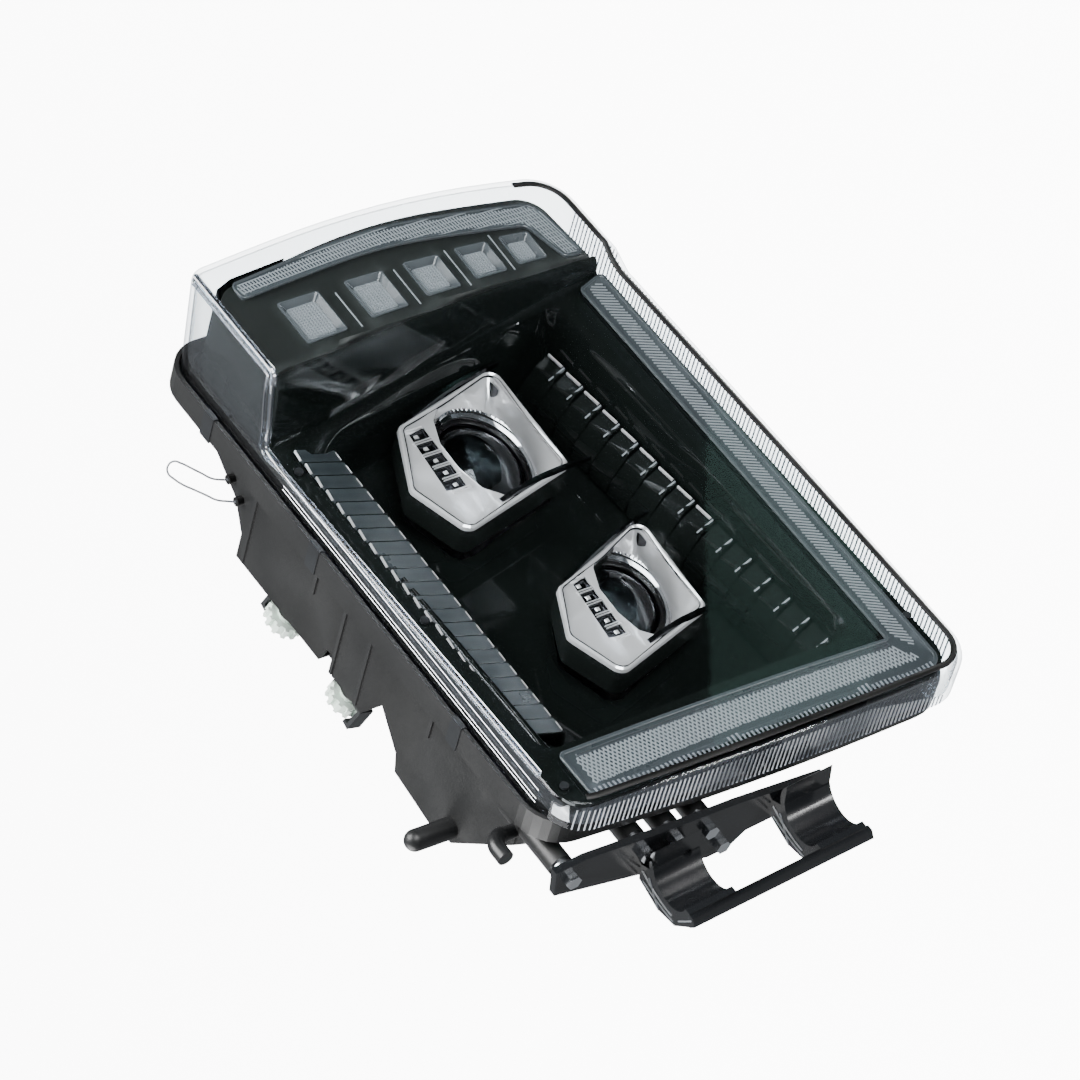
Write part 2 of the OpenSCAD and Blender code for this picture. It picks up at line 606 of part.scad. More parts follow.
module link_wire() color([0.3, 0.3, 0.32]) lens_frame() {
    last = len(wire_points) - 1;
    spots = [for (i = [0:wire_rings - 1]) wire_spot(last * i / (wire_rings - 1))];
    rings = [for (i = [0:wire_rings - 1])
        let (d = unit(spots[min(i + 1, wire_rings - 1)] - spots[max(i - 1, 0)]),
             x = unit(cross(d, [1, 0.3, -1])), y = cross(d, x))
        [for (k = [0:wire_sides - 1]) let (t = 360 * k / wire_sides)
            spots[i] + wire_r * (cos(t) * x + sin(t) * y)]];
    n = wire_sides;
    polyhedron(points = [for (r = rings) each r], faces = concat(
        [[for (k = [0:n - 1]) n - 1 - k]],
        [[for (k = [0:n - 1]) (wire_rings - 1) * n + k]],
        [for (i = [0:wire_rings - 2], k = [0:n - 1]) let (m = (k + 1) % n) each
            [[i * n + k, i * n + m, (i + 1) * n + m], [i * n + k, (i + 1) * n + m, (i + 1) * n + k]]]));
}

// Spring clips round the rim's top edge.
clip_spots = [120, 300, 440];
module lens_clips() color([0.7, 0.71, 0.73]) lens_frame() for (s = clip_spots)
    translate([s, 4.6, 0]) {
        translate([-6, 0, -25]) cube([12, 0.8, 22]);
        translate([-6, -3.6, -3.8]) cube([12, 3.8, 0.8]);
        translate([-6, -3.6, -25]) cube([12, 3.8, 0.8]);
    }

// ---------- hinge bracket ----------
plate_out = 38;                  // x of the bracket plate's face towards the bosses
saddles = [[-74, 38], [34, 38]]; // start and length of each saddle down the tube
module hinge_bracket() color([0.03, 0.03, 0.03]) tube_frame() difference() {
    union() {
        // bolt flange
        translate([plate_out - 6, 0, 0]) rotate([0, -90, 0]) rotate([0, 180, 0])
            linear_extrude(6) polygon([[146, 24], [122, 24], [60, 12], [-4, 2], [-78, -14],
                [-78, -34], [-14, -34], [0, -44], [16, -44], [70, -26], [146, 0]]);
        for (s = saddles) translate([0, 0, s[0]]) {
            cylinder(r = tube_r + saddle_wall, h = s[1]);
            // wedge from the bolt flange to the back of the saddle, and the outer lip
            linear_extrude(s[1]) polygon([[plate_out - 5, -30], [plate_out - 5, -14],
                [18, -6], [-28, -6], [-31, -12], [-10, -34], [10, -38]]);
        }
        // bar that joins the saddles behind the tube
        translate([0, 0, -74]) linear_extrude(148)
            polygon([[-31, -12], [-28, -6], [-23, -6], [-21, -16], [-26, -18]]);
    }
    translate([0, 0, -120]) cylinder(r = tube_r, h = 260);
    translate([-tube_r - saddle_wall - 12, -5, -120]) cube([2 * tube_r + saddle_wall + 12, 60, 260]);
    for (p = bosses) translate([0, p[0], p[1]]) rotate([0, 90, 0]) cylinder(r = 3.2, h = 60);
}
module bracket_spacers() color([0.75, 0.77, 0.78]) tube_frame()
    for (p = bosses) translate([plate_out + 0.1, p[0], p[1]]) rotate([0, 90, 0])
        difference() {
            cylinder(r = 7, h = 5.8);
            translate([0, 0, -1]) cylinder(r = 3.3, h = 10);
        }
module bracket_bolts() color([0.7, 0.71, 0.73]) tube_frame()
    for (p = bosses) translate([plate_out - 6.1, p[0], p[1]]) rotate([0, 90, 0]) {
        cylinder(r = 3, h = 34);
        translate([0, 0, -5.5]) cylinder(r = 5.8, h = 5.5, $fn = 6);
    }

// ---------- electrics at the back ----------
driver_holes = [[216, -250], [308, -250]];
module led_driver() color([0.55, 0.56, 0.58]) lens_frame() difference() {
    union() {
        translate([210, -268, -rear_depth - 14]) cube([104, 36, 13.8]);
        for (i = [0:8]) translate([222 + i * 9.6, -265, -rear_depth - 18]) cube([3, 30, 4.2]);
    }
    for (p = driver_holes) translate([p[0], p[1], -rear_depth - 20]) cylinder(r = 1.9, h = 30);
}
module driver_screws() color([0.7, 0.7, 0.72]) lens_frame() for (p = driver_holes)
    translate([p[0], p[1], -rear_depth - 16.4]) {
        cylinder(r = 3.4, h = 2.2);
        cylinder(r = 1.7, h = 20);
    }
connector_spot = [136, -96];
module main_connector() color([0.05, 0.05, 0.05]) lens_frame()
    translate([connector_spot[0], connector_spot[1], -rear_depth]) difference() {
        union() {
            translate([-16.6, -10.6, -20]) cube([33.2, 21.2, 26]);
            translate([-20, -14, -5]) cube([40, 28, 4.8]);
            translate([-5, 10, -18]) cube([10, 3, 10]);
        }
        translate([-14, -8, -21]) cube([28, 16, 20]);
    }

rear_housing();
outer_lens();
lens_sealant();
lens_edge_bead();
main_bezel();
upper_louvre();
lower_teeth();
signal_bezel();
signal_light_guide();
signal_optics();
signal_led_board();
drl_light_guide();
drl_led_board();
low_frame();
low_barrel();
low_glass_lens();
low_lens_ring();
low_shroud();
low_heat_sink();
low_led_board();
low_cutoff_shield();
high_frame();
high_barrel();
high_glass_lens();
high_lens_ring();
high_shroud();
high_heat_sink();
high_led_board();
low_adjuster_rod();
low_adjuster_knob();
high_adjuster_rod();
high_adjuster_knob();
adjuster_tabs();
low_rear_cap();
high_rear_cap();
cap_seals();
locating_peg();
vent_elbow();
hinge_bracket();
bracket_spacers();
bracket_bolts();
led_driver();
driver_screws();
main_connector();
wire_grommets();
link_wire();
bezel_screws();
lens_clips();
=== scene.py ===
"""Looks for the truck headlight assembly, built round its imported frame."""

import json
import logging
import math
from dataclasses import dataclass, field
from enum import Enum
from typing import Callable, Iterable, Optional, Sequence

import bmesh
import bpy
import numpy as np
from mathutils import Matrix, Vector
from mathutils.geometry import delaunay_2d_cdt

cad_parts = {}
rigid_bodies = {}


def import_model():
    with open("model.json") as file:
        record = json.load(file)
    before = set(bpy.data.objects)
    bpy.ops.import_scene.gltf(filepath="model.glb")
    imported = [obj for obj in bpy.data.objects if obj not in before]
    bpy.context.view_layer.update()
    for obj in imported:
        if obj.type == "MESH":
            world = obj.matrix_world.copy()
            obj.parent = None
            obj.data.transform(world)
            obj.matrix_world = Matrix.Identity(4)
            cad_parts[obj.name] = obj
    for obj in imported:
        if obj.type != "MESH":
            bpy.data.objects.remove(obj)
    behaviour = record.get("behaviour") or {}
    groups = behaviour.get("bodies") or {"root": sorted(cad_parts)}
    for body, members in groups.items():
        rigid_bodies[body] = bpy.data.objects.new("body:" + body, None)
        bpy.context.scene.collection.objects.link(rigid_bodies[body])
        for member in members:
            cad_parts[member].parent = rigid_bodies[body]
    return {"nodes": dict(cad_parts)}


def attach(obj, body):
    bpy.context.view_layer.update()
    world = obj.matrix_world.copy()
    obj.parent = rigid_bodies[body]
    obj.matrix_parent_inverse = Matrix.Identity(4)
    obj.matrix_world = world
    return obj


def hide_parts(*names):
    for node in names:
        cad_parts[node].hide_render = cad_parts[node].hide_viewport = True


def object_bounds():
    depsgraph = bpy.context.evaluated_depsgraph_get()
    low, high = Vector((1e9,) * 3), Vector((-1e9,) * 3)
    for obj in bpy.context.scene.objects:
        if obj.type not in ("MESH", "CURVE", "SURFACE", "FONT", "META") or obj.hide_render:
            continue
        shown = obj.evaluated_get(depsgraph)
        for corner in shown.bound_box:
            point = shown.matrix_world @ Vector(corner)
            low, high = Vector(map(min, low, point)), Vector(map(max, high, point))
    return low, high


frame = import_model()
CAD_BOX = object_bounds()
LOG = logging.getLogger("headlight")
MM = 0.001
# faces of a carried-over node that meet at more than this many degrees keep a sharp edge
NODE_SHARP = 24.0
Point2 = tuple[float, float]
Height = Callable[[np.ndarray, np.ndarray], np.ndarray]


class Body(Enum):
    """The moving bodies that pieces ride on."""

    LAMP = "lamp"
    LOW = "low_projector"
    HIGH = "high_projector"


# ---------------------------------------------------------------- lens frame


@dataclass(frozen=True)
class LensFrame:
    """The lamp's own axes: a along the lens, b up it and h out of it, in millimetres.

    Its zero is the rim's top corner at the inner end.
    """

    sweep: float = 13.5
    rake: float = 13.0
    tube_mid: tuple[float, float, float] = (-36.0, -148.0, -28.0)

    def turn(self) -> np.ndarray:
        """The rotation from lens axes to row axes."""
        up = Matrix.Rotation(math.radians(90 - self.rake), 3, "X")
        return np.array(Matrix.Rotation(math.radians(self.sweep), 3, "Z") @ up)

    def row(self, points: np.ndarray) -> np.ndarray:
        """Lens-frame millimetres to row-frame metres.

        Args:
            points: an N by 3 array.

        Returns:
            The same points in the row frame.
        """
        away = np.asarray(points, float).reshape(-1, 3) - np.array(self.tube_mid)
        return away @ self.turn().T * MM


LENS = LensFrame()


@dataclass(frozen=True)
class LensShape:
    """Outline and heights of the stepped lens face."""

    length: float = 506.0
    high: float = 350.0
    outer_high: float = 312.0
    brow_rise: float = 76.0
    brow_crown: float = 10.0
    brow_foot: float = 384.0
    lean: float = 8.0
    foot_inset: float = 18.0
    face_crest: float = 14.0

    def outline(self, inset: float = 0.0, back: float = 0.0, per_side: int = 26,
                crest: float = 28.0) -> np.ndarray:
        """The rim's outline.

        Args:
            inset: how far inside the rim.
            back: how far the inner end is set back as well.
            per_side: points along each straight side.
            crest: radius of the corner at the outer top.

        Returns:
            An N by 2 loop of (a, b).
        """
        t, n = inset, self.length
        bow = 8.0
        corners = [
            (back + t, -t, 26 - t),
            (n - t, -t, max(crest - t, 4)),
            (n + bow - t, -165.0, 1200.0),
            (n - bow - t, -self.outer_high + t, 34 - t),
            (back + t, -self.high + t, 30 - t),
            (back - bow + t, -176.0, 2400.0),
        ]
        return rounded_loop(corners, per_side)

    def edge(self, a: np.ndarray) -> np.ndarray:
        """Height of the face at the lens's bottom edge."""
        return 32 + 0.088 * a

    def height(self, a: np.ndarray, b: np.ndarray, drop: float = 0.0) -> np.ndarray:
        """Height of the face at each point.

        Args:
            a: places along the lens.
            b: places up it.
            drop: how far the face is sunk.

        Returns:
            The heights.
        """
        t = -b / self.high
        crown = np.sin(np.pi * np.clip(t, 0, 1))
        main = (25 - 0.034 * a) * (1 - t) + self.edge(a) * t + 4 * crown
        brow = self.brow_rise * (1 - t) + self.edge(a) * t + self.brow_crown * crown
        foot = self.brow_foot + 32 * t + 0.6 * drop
        share = np.clip((a - foot) / (self.lean - 3 * t), 0, 1)
        return main * (1 - share) + brow * share - drop

    def at(self, drop: float) -> Height:
        """The height function of the face sunk by drop."""
        return lambda a, b: self.height(a, b, drop)

    def spot_height(self, a: float, b: float, drop: float = 0.0) -> float:
        """Height of the face sunk by drop, at one point."""
        return float(self.height(np.array(a), np.array(b), drop))


def rounded_loop(corners: Sequence[tuple[float, float, float]], per_side: int = 1,
                 arc: int = 9) -> np.ndarray:
    """A closed outline with rounded corners.

    Args:
        corners: (a, b, radius) of each corner.
        per_side: points along each straight side.
        arc: points round each corner.

    Returns:
        An N by 2 array.
    """
    arcs = []
    for i, (x, y, r) in enumerate(corners):
        before, after = corners[i - 1], corners[(i + 1) % len(corners)]
        here = np.array((x, y))
        u = np.array(before[:2]) - here
        w = np.array(after[:2]) - here
        u, w = u / np.linalg.norm(u), w / np.linalg.norm(w)
        half = math.acos(float(np.clip(u @ w, -1, 1))) / 2
        mid = (u + w) / np.linalg.norm(u + w)
        centre = here + mid * r / math.sin(half)
        turn = 1.0 if u[0] * w[1] - u[1] * w[0] < 0 else -1.0
        base = math.atan2(-mid[1], -mid[0])
        span = math.pi - 2 * half
        angles = base + turn * span * (np.linspace(0, 1, arc) - 0.5)
        arcs.append(centre + r * np.stack([np.cos(angles), np.sin(angles)], 1))
    loop = []
    for i, piece in enumerate(arcs):
        loop.extend(piece)
        start, end = piece[-1], arcs[(i + 1) % len(arcs)][0]
        for s in np.linspace(0, 1, per_side + 1)[1:-1]:
            loop.append(start + (end - start) * s)
    return np.array(loop)


def inside(points: np.ndarray, loop: np.ndarray) -> np.ndarray:
    """Which points lie inside a closed loop.

    Args:
        points: N by 2.
        loop: M by 2.

    Returns:
        A mask of N.
    """
    x, y = points[:, 0], points[:, 1]
    hit = np.zeros(len(points), bool)
    for p, q in zip(loop, np.roll(loop, -1, 0)):
        crosses = (p[1] > y) != (q[1] > y)
        with np.errstate(divide="ignore", invalid="ignore"):
            at = (q[0] - p[0]) * (y - p[1]) / (q[1] - p[1]) + p[0]
        hit ^= crosses & (x < at)
    return hit


def distance(points: np.ndarray, loop: np.ndarray) -> np.ndarray:
    """Distance of each point from a closed loop's line.

    Args:
        points: N by 2.
        loop: M by 2.

    Returns:
        N distances.
    """
    best = np.full(len(points), 1e9)
    for p, q in zip(loop, np.roll(loop, -1, 0)):
        d = q - p
        t = np.clip(((points - p) @ d) / max(1e-9, float(d @ d)), 0, 1)
        best = np.minimum(best, np.linalg.norm(points - p - t[:, None] * d, axis=1))
    return best


SHAPE = LensShape()


# ---------------------------------------------------------------- finishes


def linear(code: str) -> tuple[float, float, float, float]:
    """An sRGB hex colour as linear RGBA.

    Args:
        code: such as "1a2b3c".

    Returns:
        Four numbers, the last of them 1.
    """
    parts = [int(code[i : i + 2], 16) / 255 for i in (0, 2, 4)]
    lit = [c / 12.92 if c <= 0.04045 else ((c + 0.055) / 1.055) ** 2.4 for c in parts]
    return (lit[0], lit[1], lit[2], 1.0)


def add_node(tree: bpy.types.NodeTree, kind: str, settings: Optional[dict] = None,
             links: Optional[dict] = None) -> bpy.types.Node:
    """Adds one shader node.

    Args:
        tree: the material's node tree.
        kind: the node's type name.
        settings: properties, and input values by socket name or number.
        links: input socket to the output socket that feeds it.

    Returns:
        The node.
    """
    node = tree.nodes.new(kind)
    for key, value in (settings or {}).items():
        if isinstance(key, str) and hasattr(node, key):
            setattr(node, key, value)
        else:
            node.inputs[key].default_value = value
    for key, source in (links or {}).items():
        tree.links.new(source, node.inputs[key])
    return node


def blank_material(name: str) -> bpy.types.Material:
    """A new material with an empty node tree.

    Args:
        name: its name.

    Returns:
        The material.
    """
    mat = bpy.data.materials.new(name)
    mat.use_nodes = True
    mat.node_tree.nodes.clear()
    return mat


@dataclass(frozen=True)
class Moulded:
    """A moulded plastic or coated surface: grain from its tool, and paler worn edges."""

    name: str
    colour: str
    worn: str
    roughness: float = 0.5
    grain_mm: float = 1.2
    grain_depth: float = 0.15
    spread: float = 0.08
    metallic: float = 0.0
    ior: float = 1.5
    coat: float = 0.0
    wear: float = 0.35
    cloud_mm: float = 55.6

    def material(self) -> bpy.types.Material:
        """Builds the material.

        Returns:
            The new material.
        """
        mat = blank_material(self.name)
        tree = mat.node_tree
        where = add_node(tree, "ShaderNodeTexCoord").outputs["Object"]
        grain = add_node(tree, "ShaderNodeTexNoise",
                         {"Scale": 1 / (self.grain_mm * MM), "Detail": 3.0}, {"Vector": where})
        cloud = add_node(tree, "ShaderNodeTexNoise",
                         {"Scale": 1 / (self.cloud_mm * MM), "Detail": 4.0}, {"Vector": where})
        geometry = add_node(tree, "ShaderNodeNewGeometry")
        edge = add_node(tree, "ShaderNodeMapRange", {1: 0.53, 2: 0.62, 3: 0.0, 4: self.wear},
                        {0: geometry.outputs["Pointiness"]})
        colour = add_node(tree, "ShaderNodeMix",
                          {"data_type": "RGBA", 6: linear(self.colour), 7: linear(self.worn)},
                          {0: edge.outputs[0]})
        rough = add_node(tree, "ShaderNodeMapRange",
                         {1: 0.3, 2: 0.7, 3: self.roughness - self.spread,
                          4: self.roughness + self.spread}, {0: cloud.outputs[0]})
        bump = add_node(tree, "ShaderNodeBump",
                        {"Strength": self.grain_depth, "Distance": 0.0003},
                        {"Height": grain.outputs[0]})
        shader = add_node(tree, "ShaderNodeBsdfPrincipled",
                          {"Metallic": self.metallic, "IOR": self.ior,
                           "Coat Weight": self.coat, "Coat Roughness": 0.04},
                          {"Base Color": colour.outputs[2], "Roughness": rough.outputs[0],
                           "Normal": bump.outputs[0]})
        add_node(tree, "ShaderNodeOutputMaterial", {}, {"Surface": shader.outputs[0]})
        return mat


@dataclass(frozen=True)
class ClearPane:
    """Thin clear polycarbonate or glass: sees through straight on, mirrors and greys at its edges."""

    name: str
    tint: str
    rim: str
    roughness: float = 0.03
    ior: float = 1.5
    wave_mm: float = 60.0
    wave_depth: float = 0.03
    straight: float = 0.006
    grazing: float = 0.42

    def material(self) -> bpy.types.Material:
        """Builds the material.

        Returns:
            The new material.
        """
        mat = blank_material(self.name)
        tree = mat.node_tree
        where = add_node(tree, "ShaderNodeTexCoord").outputs["Object"]
        wave = add_node(tree, "ShaderNodeTexNoise", {"Scale": 1 / (self.wave_mm * MM)},
                        {"Vector": where})
        bump = add_node(tree, "ShaderNodeBump", {"Strength": self.wave_depth, "Distance": 0.002},
                        {"Height": wave.outputs[0]})
        face = add_node(tree, "ShaderNodeLayerWeight", {"Blend": 0.35})
        shade = add_node(tree, "ShaderNodeMapRange", {1: 0.35, 2: 0.95, 3: 0.0, 4: 1.0},
                         {0: face.outputs["Facing"]})
        tint = add_node(tree, "ShaderNodeMix",
                        {"data_type": "RGBA", 6: linear(self.tint), 7: linear(self.rim)},
                        {0: shade.outputs[0]})
        through = add_node(tree, "ShaderNodeBsdfTransparent", {}, {"Color": tint.outputs[2]})
        gloss = add_node(tree, "ShaderNodeBsdfGlossy",
                         {"Roughness": self.roughness, "Color": linear("f4f6fa")},
                         {"Normal": bump.outputs[0]})
        bend = add_node(tree, "ShaderNodeFresnel", {"IOR": self.ior}, {"Normal": bump.outputs[0]})
        share = add_node(tree, "ShaderNodeMapRange",
                         {1: 0.036, 2: 0.6, 3: self.straight, 4: self.grazing},
                         {0: bend.outputs[0]})
        mix = add_node(tree, "ShaderNodeMixShader", {}, {0: share.outputs[0],
                                                        1: through.outputs[0],
                                                        2: gloss.outputs[0]})
        add_node(tree, "ShaderNodeOutputMaterial", {}, {"Surface": mix.outputs[0]})
        return mat


class Finishes(Enum):
    """Every finish on the lamp, named for what it really is."""

    # spark-eroded polypropylene: dull black with a fine sparkle-free grain
    HOUSING_PP = Moulded("black_polypropylene_moulded", "0a0b0b", "2a2b2c", 0.46, 1.0, 0.35)
    # polished polycarbonate bezel: deep black that mirrors softly
    BEZEL_GLOSS = Moulded("gloss_black_polycarbonate", "0d1110", "1a1d1c", 0.06, 40.0, 0.0006, 0.01)
    # etched panel: charcoal with a silky sheen
    PANEL_SATIN = Moulded("satin_charcoal_abs_etched", "1a1d1c", "3b3f3e", 0.42, 1.4, 0.12)
    # etched louvre slats: a paler satin grey that parts them from the tray
    LOUVRE_SATIN = Moulded("satin_grey_abs_moulded", "20262a", "4c5557", 0.34, 3.0, 0.06)
    # EPDM and butyl: soft dull black
    RUBBER = Moulded("black_epdm_rubber", "030303", "0c0c0c", 0.42, 0.8, 0.2)
    # vacuum-metallised shroud: near-perfect mirror with faint flow marks
    CHROME = Moulded("vacuum_metallised_chrome", "e6e6e8", "ffffff", 0.07, 26.0, 0.03, 0.03, 1.0)
    # smoked metallising on the thin brow blades
    SMOKED_CHROME = Moulded("smoked_metallised_chrome", "3c3d40", "9a9b9e", 0.14, 22.0, 0.03,
                            0.05, 1.0)
    # black anodised lens ring
    RING_BLACK = Moulded("black_anodised_aluminium", "0d0d0e", "2b2b2d", 0.3, 0.9, 0.1, 0.06, 0.6)
    # pressure die casting: pale grey with a sandy skin
    CAST = Moulded("die_cast_aluminium", "9a9c9f", "c9cacc", 0.42, 1.6, 0.3, 0.08, 1.0)
    # black e-coated casting
    CARRIER = Moulded("black_ecoated_casting", "17181a", "4c4d50", 0.42, 1.4, 0.25, 0.08, 0.2)
    # aluminium film under lacquer on the collars, near white with soft reflections: its white diffuse
    # share is painted sheen standing in for a chrome collar's bright reflections, and it also paints
    # the glint bars on the louvre and the teeth
    FILM = Moulded("aluminium_film_painted_white_sheen", "f8f8f9", "ffffff", 0.09, 6.0, 0.02, 0.02, 0.62,
                   coat=0.6)
    # phosphated spring steel: dark grey
    SPRING = Moulded("phosphated_spring_steel", "1c1d1f", "55585b", 0.4, 1.2, 0.15, 0.08, 0.7)
    # zinc plate: cool bright grey with a streaky passivate
    ZINC = Moulded("zinc_plated_steel", "b9bec4", "eef0f2", 0.24, 5.0, 0.08, 0.08, 1.0)
    # natural nylon: milky white with a green cast
    NYLON_WHITE = Moulded("natural_nylon_moulded", "d5e6da", "f2fbf4", 0.4, 2.0, 0.1)
    # black nylon fittings
    NYLON_BLACK = Moulded("black_nylon_moulded", "0f1011", "3a3c3e", 0.4, 1.6, 0.2)
    # glass-filled nylon bracket: shiny black skin
    BRACKET = Moulded("black_glass_filled_nylon", "040405", "2c2f32", 0.2, 4.0, 0.08, 0.06,
                      wear=0.3)
    # raised moulding lines on the bracket, coloured pale grey as painted highlights where they catch
    # the light
    BRACKET_LINE = Moulded("bracket_rib_painted_highlight", "5c5f63", "8f9296", 0.3, 3.0, 0.1)
    # frosted light guide: cloudy grey-white polycarbonate
    FROSTED = Moulded("frosted_polycarbonate_guide", "33383b", "666c70", 0.32, 1.5, 0.2, 0.1,
                      coat=0.3)
    # its ribs, a touch paler; the same pale finish paints the glint ticks on the lower teeth
    FROSTED_RIB = Moulded("frosted_rib_and_painted_glint", "6a7175", "a9afb3", 0.26, 2.0, 0.1,
                          coat=0.3)
    # darker border moulding round the optics
    SMOKED_EDGE = Moulded("smoked_polycarbonate_edge", "3a3f42", "7b8084", 0.22, 4.0, 0.05,
                          coat=0.5)
    # white solder resist
    BOARD = Moulded("white_solder_resist", "c9ccc8", "e4e6e2", 0.4, 3.0, 0.05)
    # PVC wire
    WIRE = Moulded("grey_pvc_wire", "70747a", "9a9ea4", 0.45, 2.0, 0.1)
    # hard-coated clear lens
    LENS_PC = ClearPane("clear_hard_coated_polycarbonate", "f7f9fa", "a9adb2")
    # the same polycarbonate where it is thick enough to glint
    RIDGE_PC = ClearPane("thick_clear_polycarbonate_edge", "dfe3e6", "6f757b", 0.04,
                         straight=0.14, grazing=0.9)
    # its two edges, where the thick plastic gathers light
    LIP_PC = ClearPane("clear_polycarbonate_bright_edge", "dfe3e6", "8f959b", 0.08,
                       straight=0.55, grazing=0.95)
    # moulded flutes, a little cloudier
    FLUTE_PC = ClearPane("fluted_polycarbonate", "d5d9de", "8d9299", 0.3, wave_depth=0.0,
                         straight=0.45, grazing=0.8)
    # ground projector lens
    LENS_GLASS = ClearPane("ground_optical_glass", "7d8486", "33393b", 0.02, 1.55, straight=0.03)

    def slots(self, obj: bpy.types.Object) -> None:
        """Puts this finish on all of an object's material slots.

        Args:
            obj: the object.
        """
        mat = bpy.data.materials.get(self.value.name) or self.value.material()
        if not obj.data.materials:
            obj.data.materials.append(mat)
        for i in range(len(obj.data.materials)):
            obj.data.materials[i] = mat


# ---------------------------------------------------------------- meshes


def put(name: str, data: bpy.types.ID) -> bpy.types.Object:
    """Puts a new object into the scene.

    Args:
        name: the object's name.
        data: what it shows.

    Returns:
        The object.
    """
    obj = bpy.data.objects.new(name, data)
    bpy.context.scene.collection.objects.link(obj)
    return obj


@dataclass
class Solid:
    """Points and faces gathered in the lens frame, in millimetres."""

    points: list = field(default_factory=list)
    faces: list = field(default_factory=list)

    def add(self, points: Iterable, faces: Iterable) -> None:
        """Adds points and the faces between them.

        Args:
            points: the new points.
            faces: corner numbers, counted within the new points.
        """
        start = len(self.points)
        self.points.extend(tuple(float(c) for c in p) for p in points)
        self.faces.extend(tuple(int(i) + start for i in f) for f in faces)

    def loft(self, rings: Sequence[np.ndarray], closed: bool = True, caps: bool = True,
             loop: bool = False) -> None:
        """Skins a row of rings.

        Args:
            rings: each an N by 3 array, all with the same N.
            closed: whether each ring closes on itself.
            caps: whether the first and last rings are filled.
            loop: whether the last ring joins the first.
        """
        n, m = len(rings[0]), len(rings)
        faces = []
        for j in range(m if loop else m - 1):
            k = (j + 1) % m
            for i in range(n if closed else n - 1):
                q = (i + 1) % n
                faces.append((j * n + i, j * n + q, k * n + q, k * n + i))
        if caps and not loop:
            faces.append(tuple(reversed(range(n))))
            faces.append(tuple((m - 1) * n + i for i in range(n)))
        self.add(np.concatenate(rings), faces)

    def bar(self, start: Sequence[float], end: Sequence[float], wide: float, thick: float,
            up: Sequence[float] = (0, 0, 1), taper: float = 0.7) -> None:
        """A straight rib whose top is narrower than its foot.

        Args:
            start: the middle of its foot at one end, (a, b, h).
            end: the same at the other end.
            wide: width of its foot.
            thick: how far it stands up.
            up: which way it stands.
            taper: width of its top against its foot.
        """
        p, q, n = (np.array(v, float) for v in (start, end, up))
        side = np.cross(q - p, n)
        side = side / np.linalg.norm(side) * wide / 2
        n = n / np.linalg.norm(n) * thick
        rings = [np.array([e - side, e + side, e + side * taper + n, e - side * taper + n])
                 for e in (p, q)]
        self.loft(rings)

    def strip(self, path: np.ndarray, heights: np.ndarray, wide: float, lift: float,
              sink: float = 0.6, loop: bool = False) -> None:
        """A rounded bead along a path on a face.

        Args:
            path: N by 2, (a, b).
            heights: the face's height at each point.
            wide: the bead's width.
            lift: how far it stands above the face.
            sink: how far it reaches below it.
            loop: whether the path closes.
        """
        ahead = np.roll(path, -1, 0) - np.roll(path, 1, 0)
        if not loop:
            ahead[0], ahead[-1] = path[1] - path[0], path[-1] - path[-2]
        ahead = ahead / np.linalg.norm(ahead, axis=1)[:, None]
        normal = np.column_stack([-ahead[:, 1], ahead[:, 0]])
        section = [(-0.5, -sink), (-0.5, lift * 0.5), (-0.32, lift * 0.92), (0.0, lift),
                   (0.32, lift * 0.92), (0.5, lift * 0.5), (0.5, -sink)]
        rings = []
        for p, n, h in zip(path, normal, heights):
            rings.append(np.array([(p[0] + n[0] * s * wide, p[1] + n[1] * s * wide, h + z)
                                   for s, z in section]))
        self.loft(rings, loop=loop)

    def sheet(self, outer: np.ndarray, holes: Sequence[np.ndarray], top: Height, thick: float,
              spacing: float = 8.0, rows: Optional[np.ndarray] = None) -> None:
        """A sheet that follows a face, cut to an outline with holes.

        Args:
            outer: the outline, N by 2.
            holes: closed loops cut out of it.
            top: height of its upper side.
            thick: its thickness.
            spacing: distance between its inner points.
            rows: inner points to use instead of an even grid.
        """
        if rows is None:
            lo, hi = outer.min(0), outer.max(0)
            xs = np.arange(lo[0] + spacing / 2, hi[0], spacing)
            ys = np.arange(lo[1] + spacing / 2, hi[1], spacing)
            rows = np.array([(x, y) for y in ys for x in xs])
        keep = inside(rows, outer) & (distance(rows, outer) > 0.4 * spacing)
        for hole in holes:
            keep &= ~inside(rows, hole) & (distance(rows, hole) > 0.4 * spacing)
        loops = [outer, *holes]
        flat = [Vector(p) for p in np.concatenate([*loops, rows[keep]])]
        edges, start = [], 0
        for loop in loops:
            n = len(loop)
            edges += [(start + i, start + (i + 1) % n) for i in range(n)]
            start += n
        made = delaunay_2d_cdt(flat, edges, [], 0, 1e-5)
        co = np.array([tuple(v) for v in made[0]])
        tris = [tuple(f) for f in made[2]]
        middle = np.array([co[list(f)].mean(0) for f in tris])
        good = inside(middle, outer)
        for hole in holes:
            good &= ~inside(middle, hole)
        tris = [f for f, ok in zip(tris, good) if ok]
        flip = [np.cross(co[f[1]] - co[f[0]], co[f[2]] - co[f[0]]) < 0 for f in tris]
        tris = [tuple(reversed(f)) if bad else f for f, bad in zip(tris, flip)]
        heights = top(co[:, 0], co[:, 1])
        n = len(co)
        faces = list(tris) + [tuple(i + n for i in reversed(f)) for f in tris]
        count: dict = {}
        for f in tris:
            for e in zip(f, f[1:] + f[:1]):
                count[e] = count.get(e, 0) + 1
        faces += [(e[1], e[0], e[0] + n, e[1] + n) for e in count if (e[1], e[0]) not in count]
        upper = np.column_stack([co, heights])
        self.add(np.concatenate([upper, upper - (0, 0, thick)]), faces)

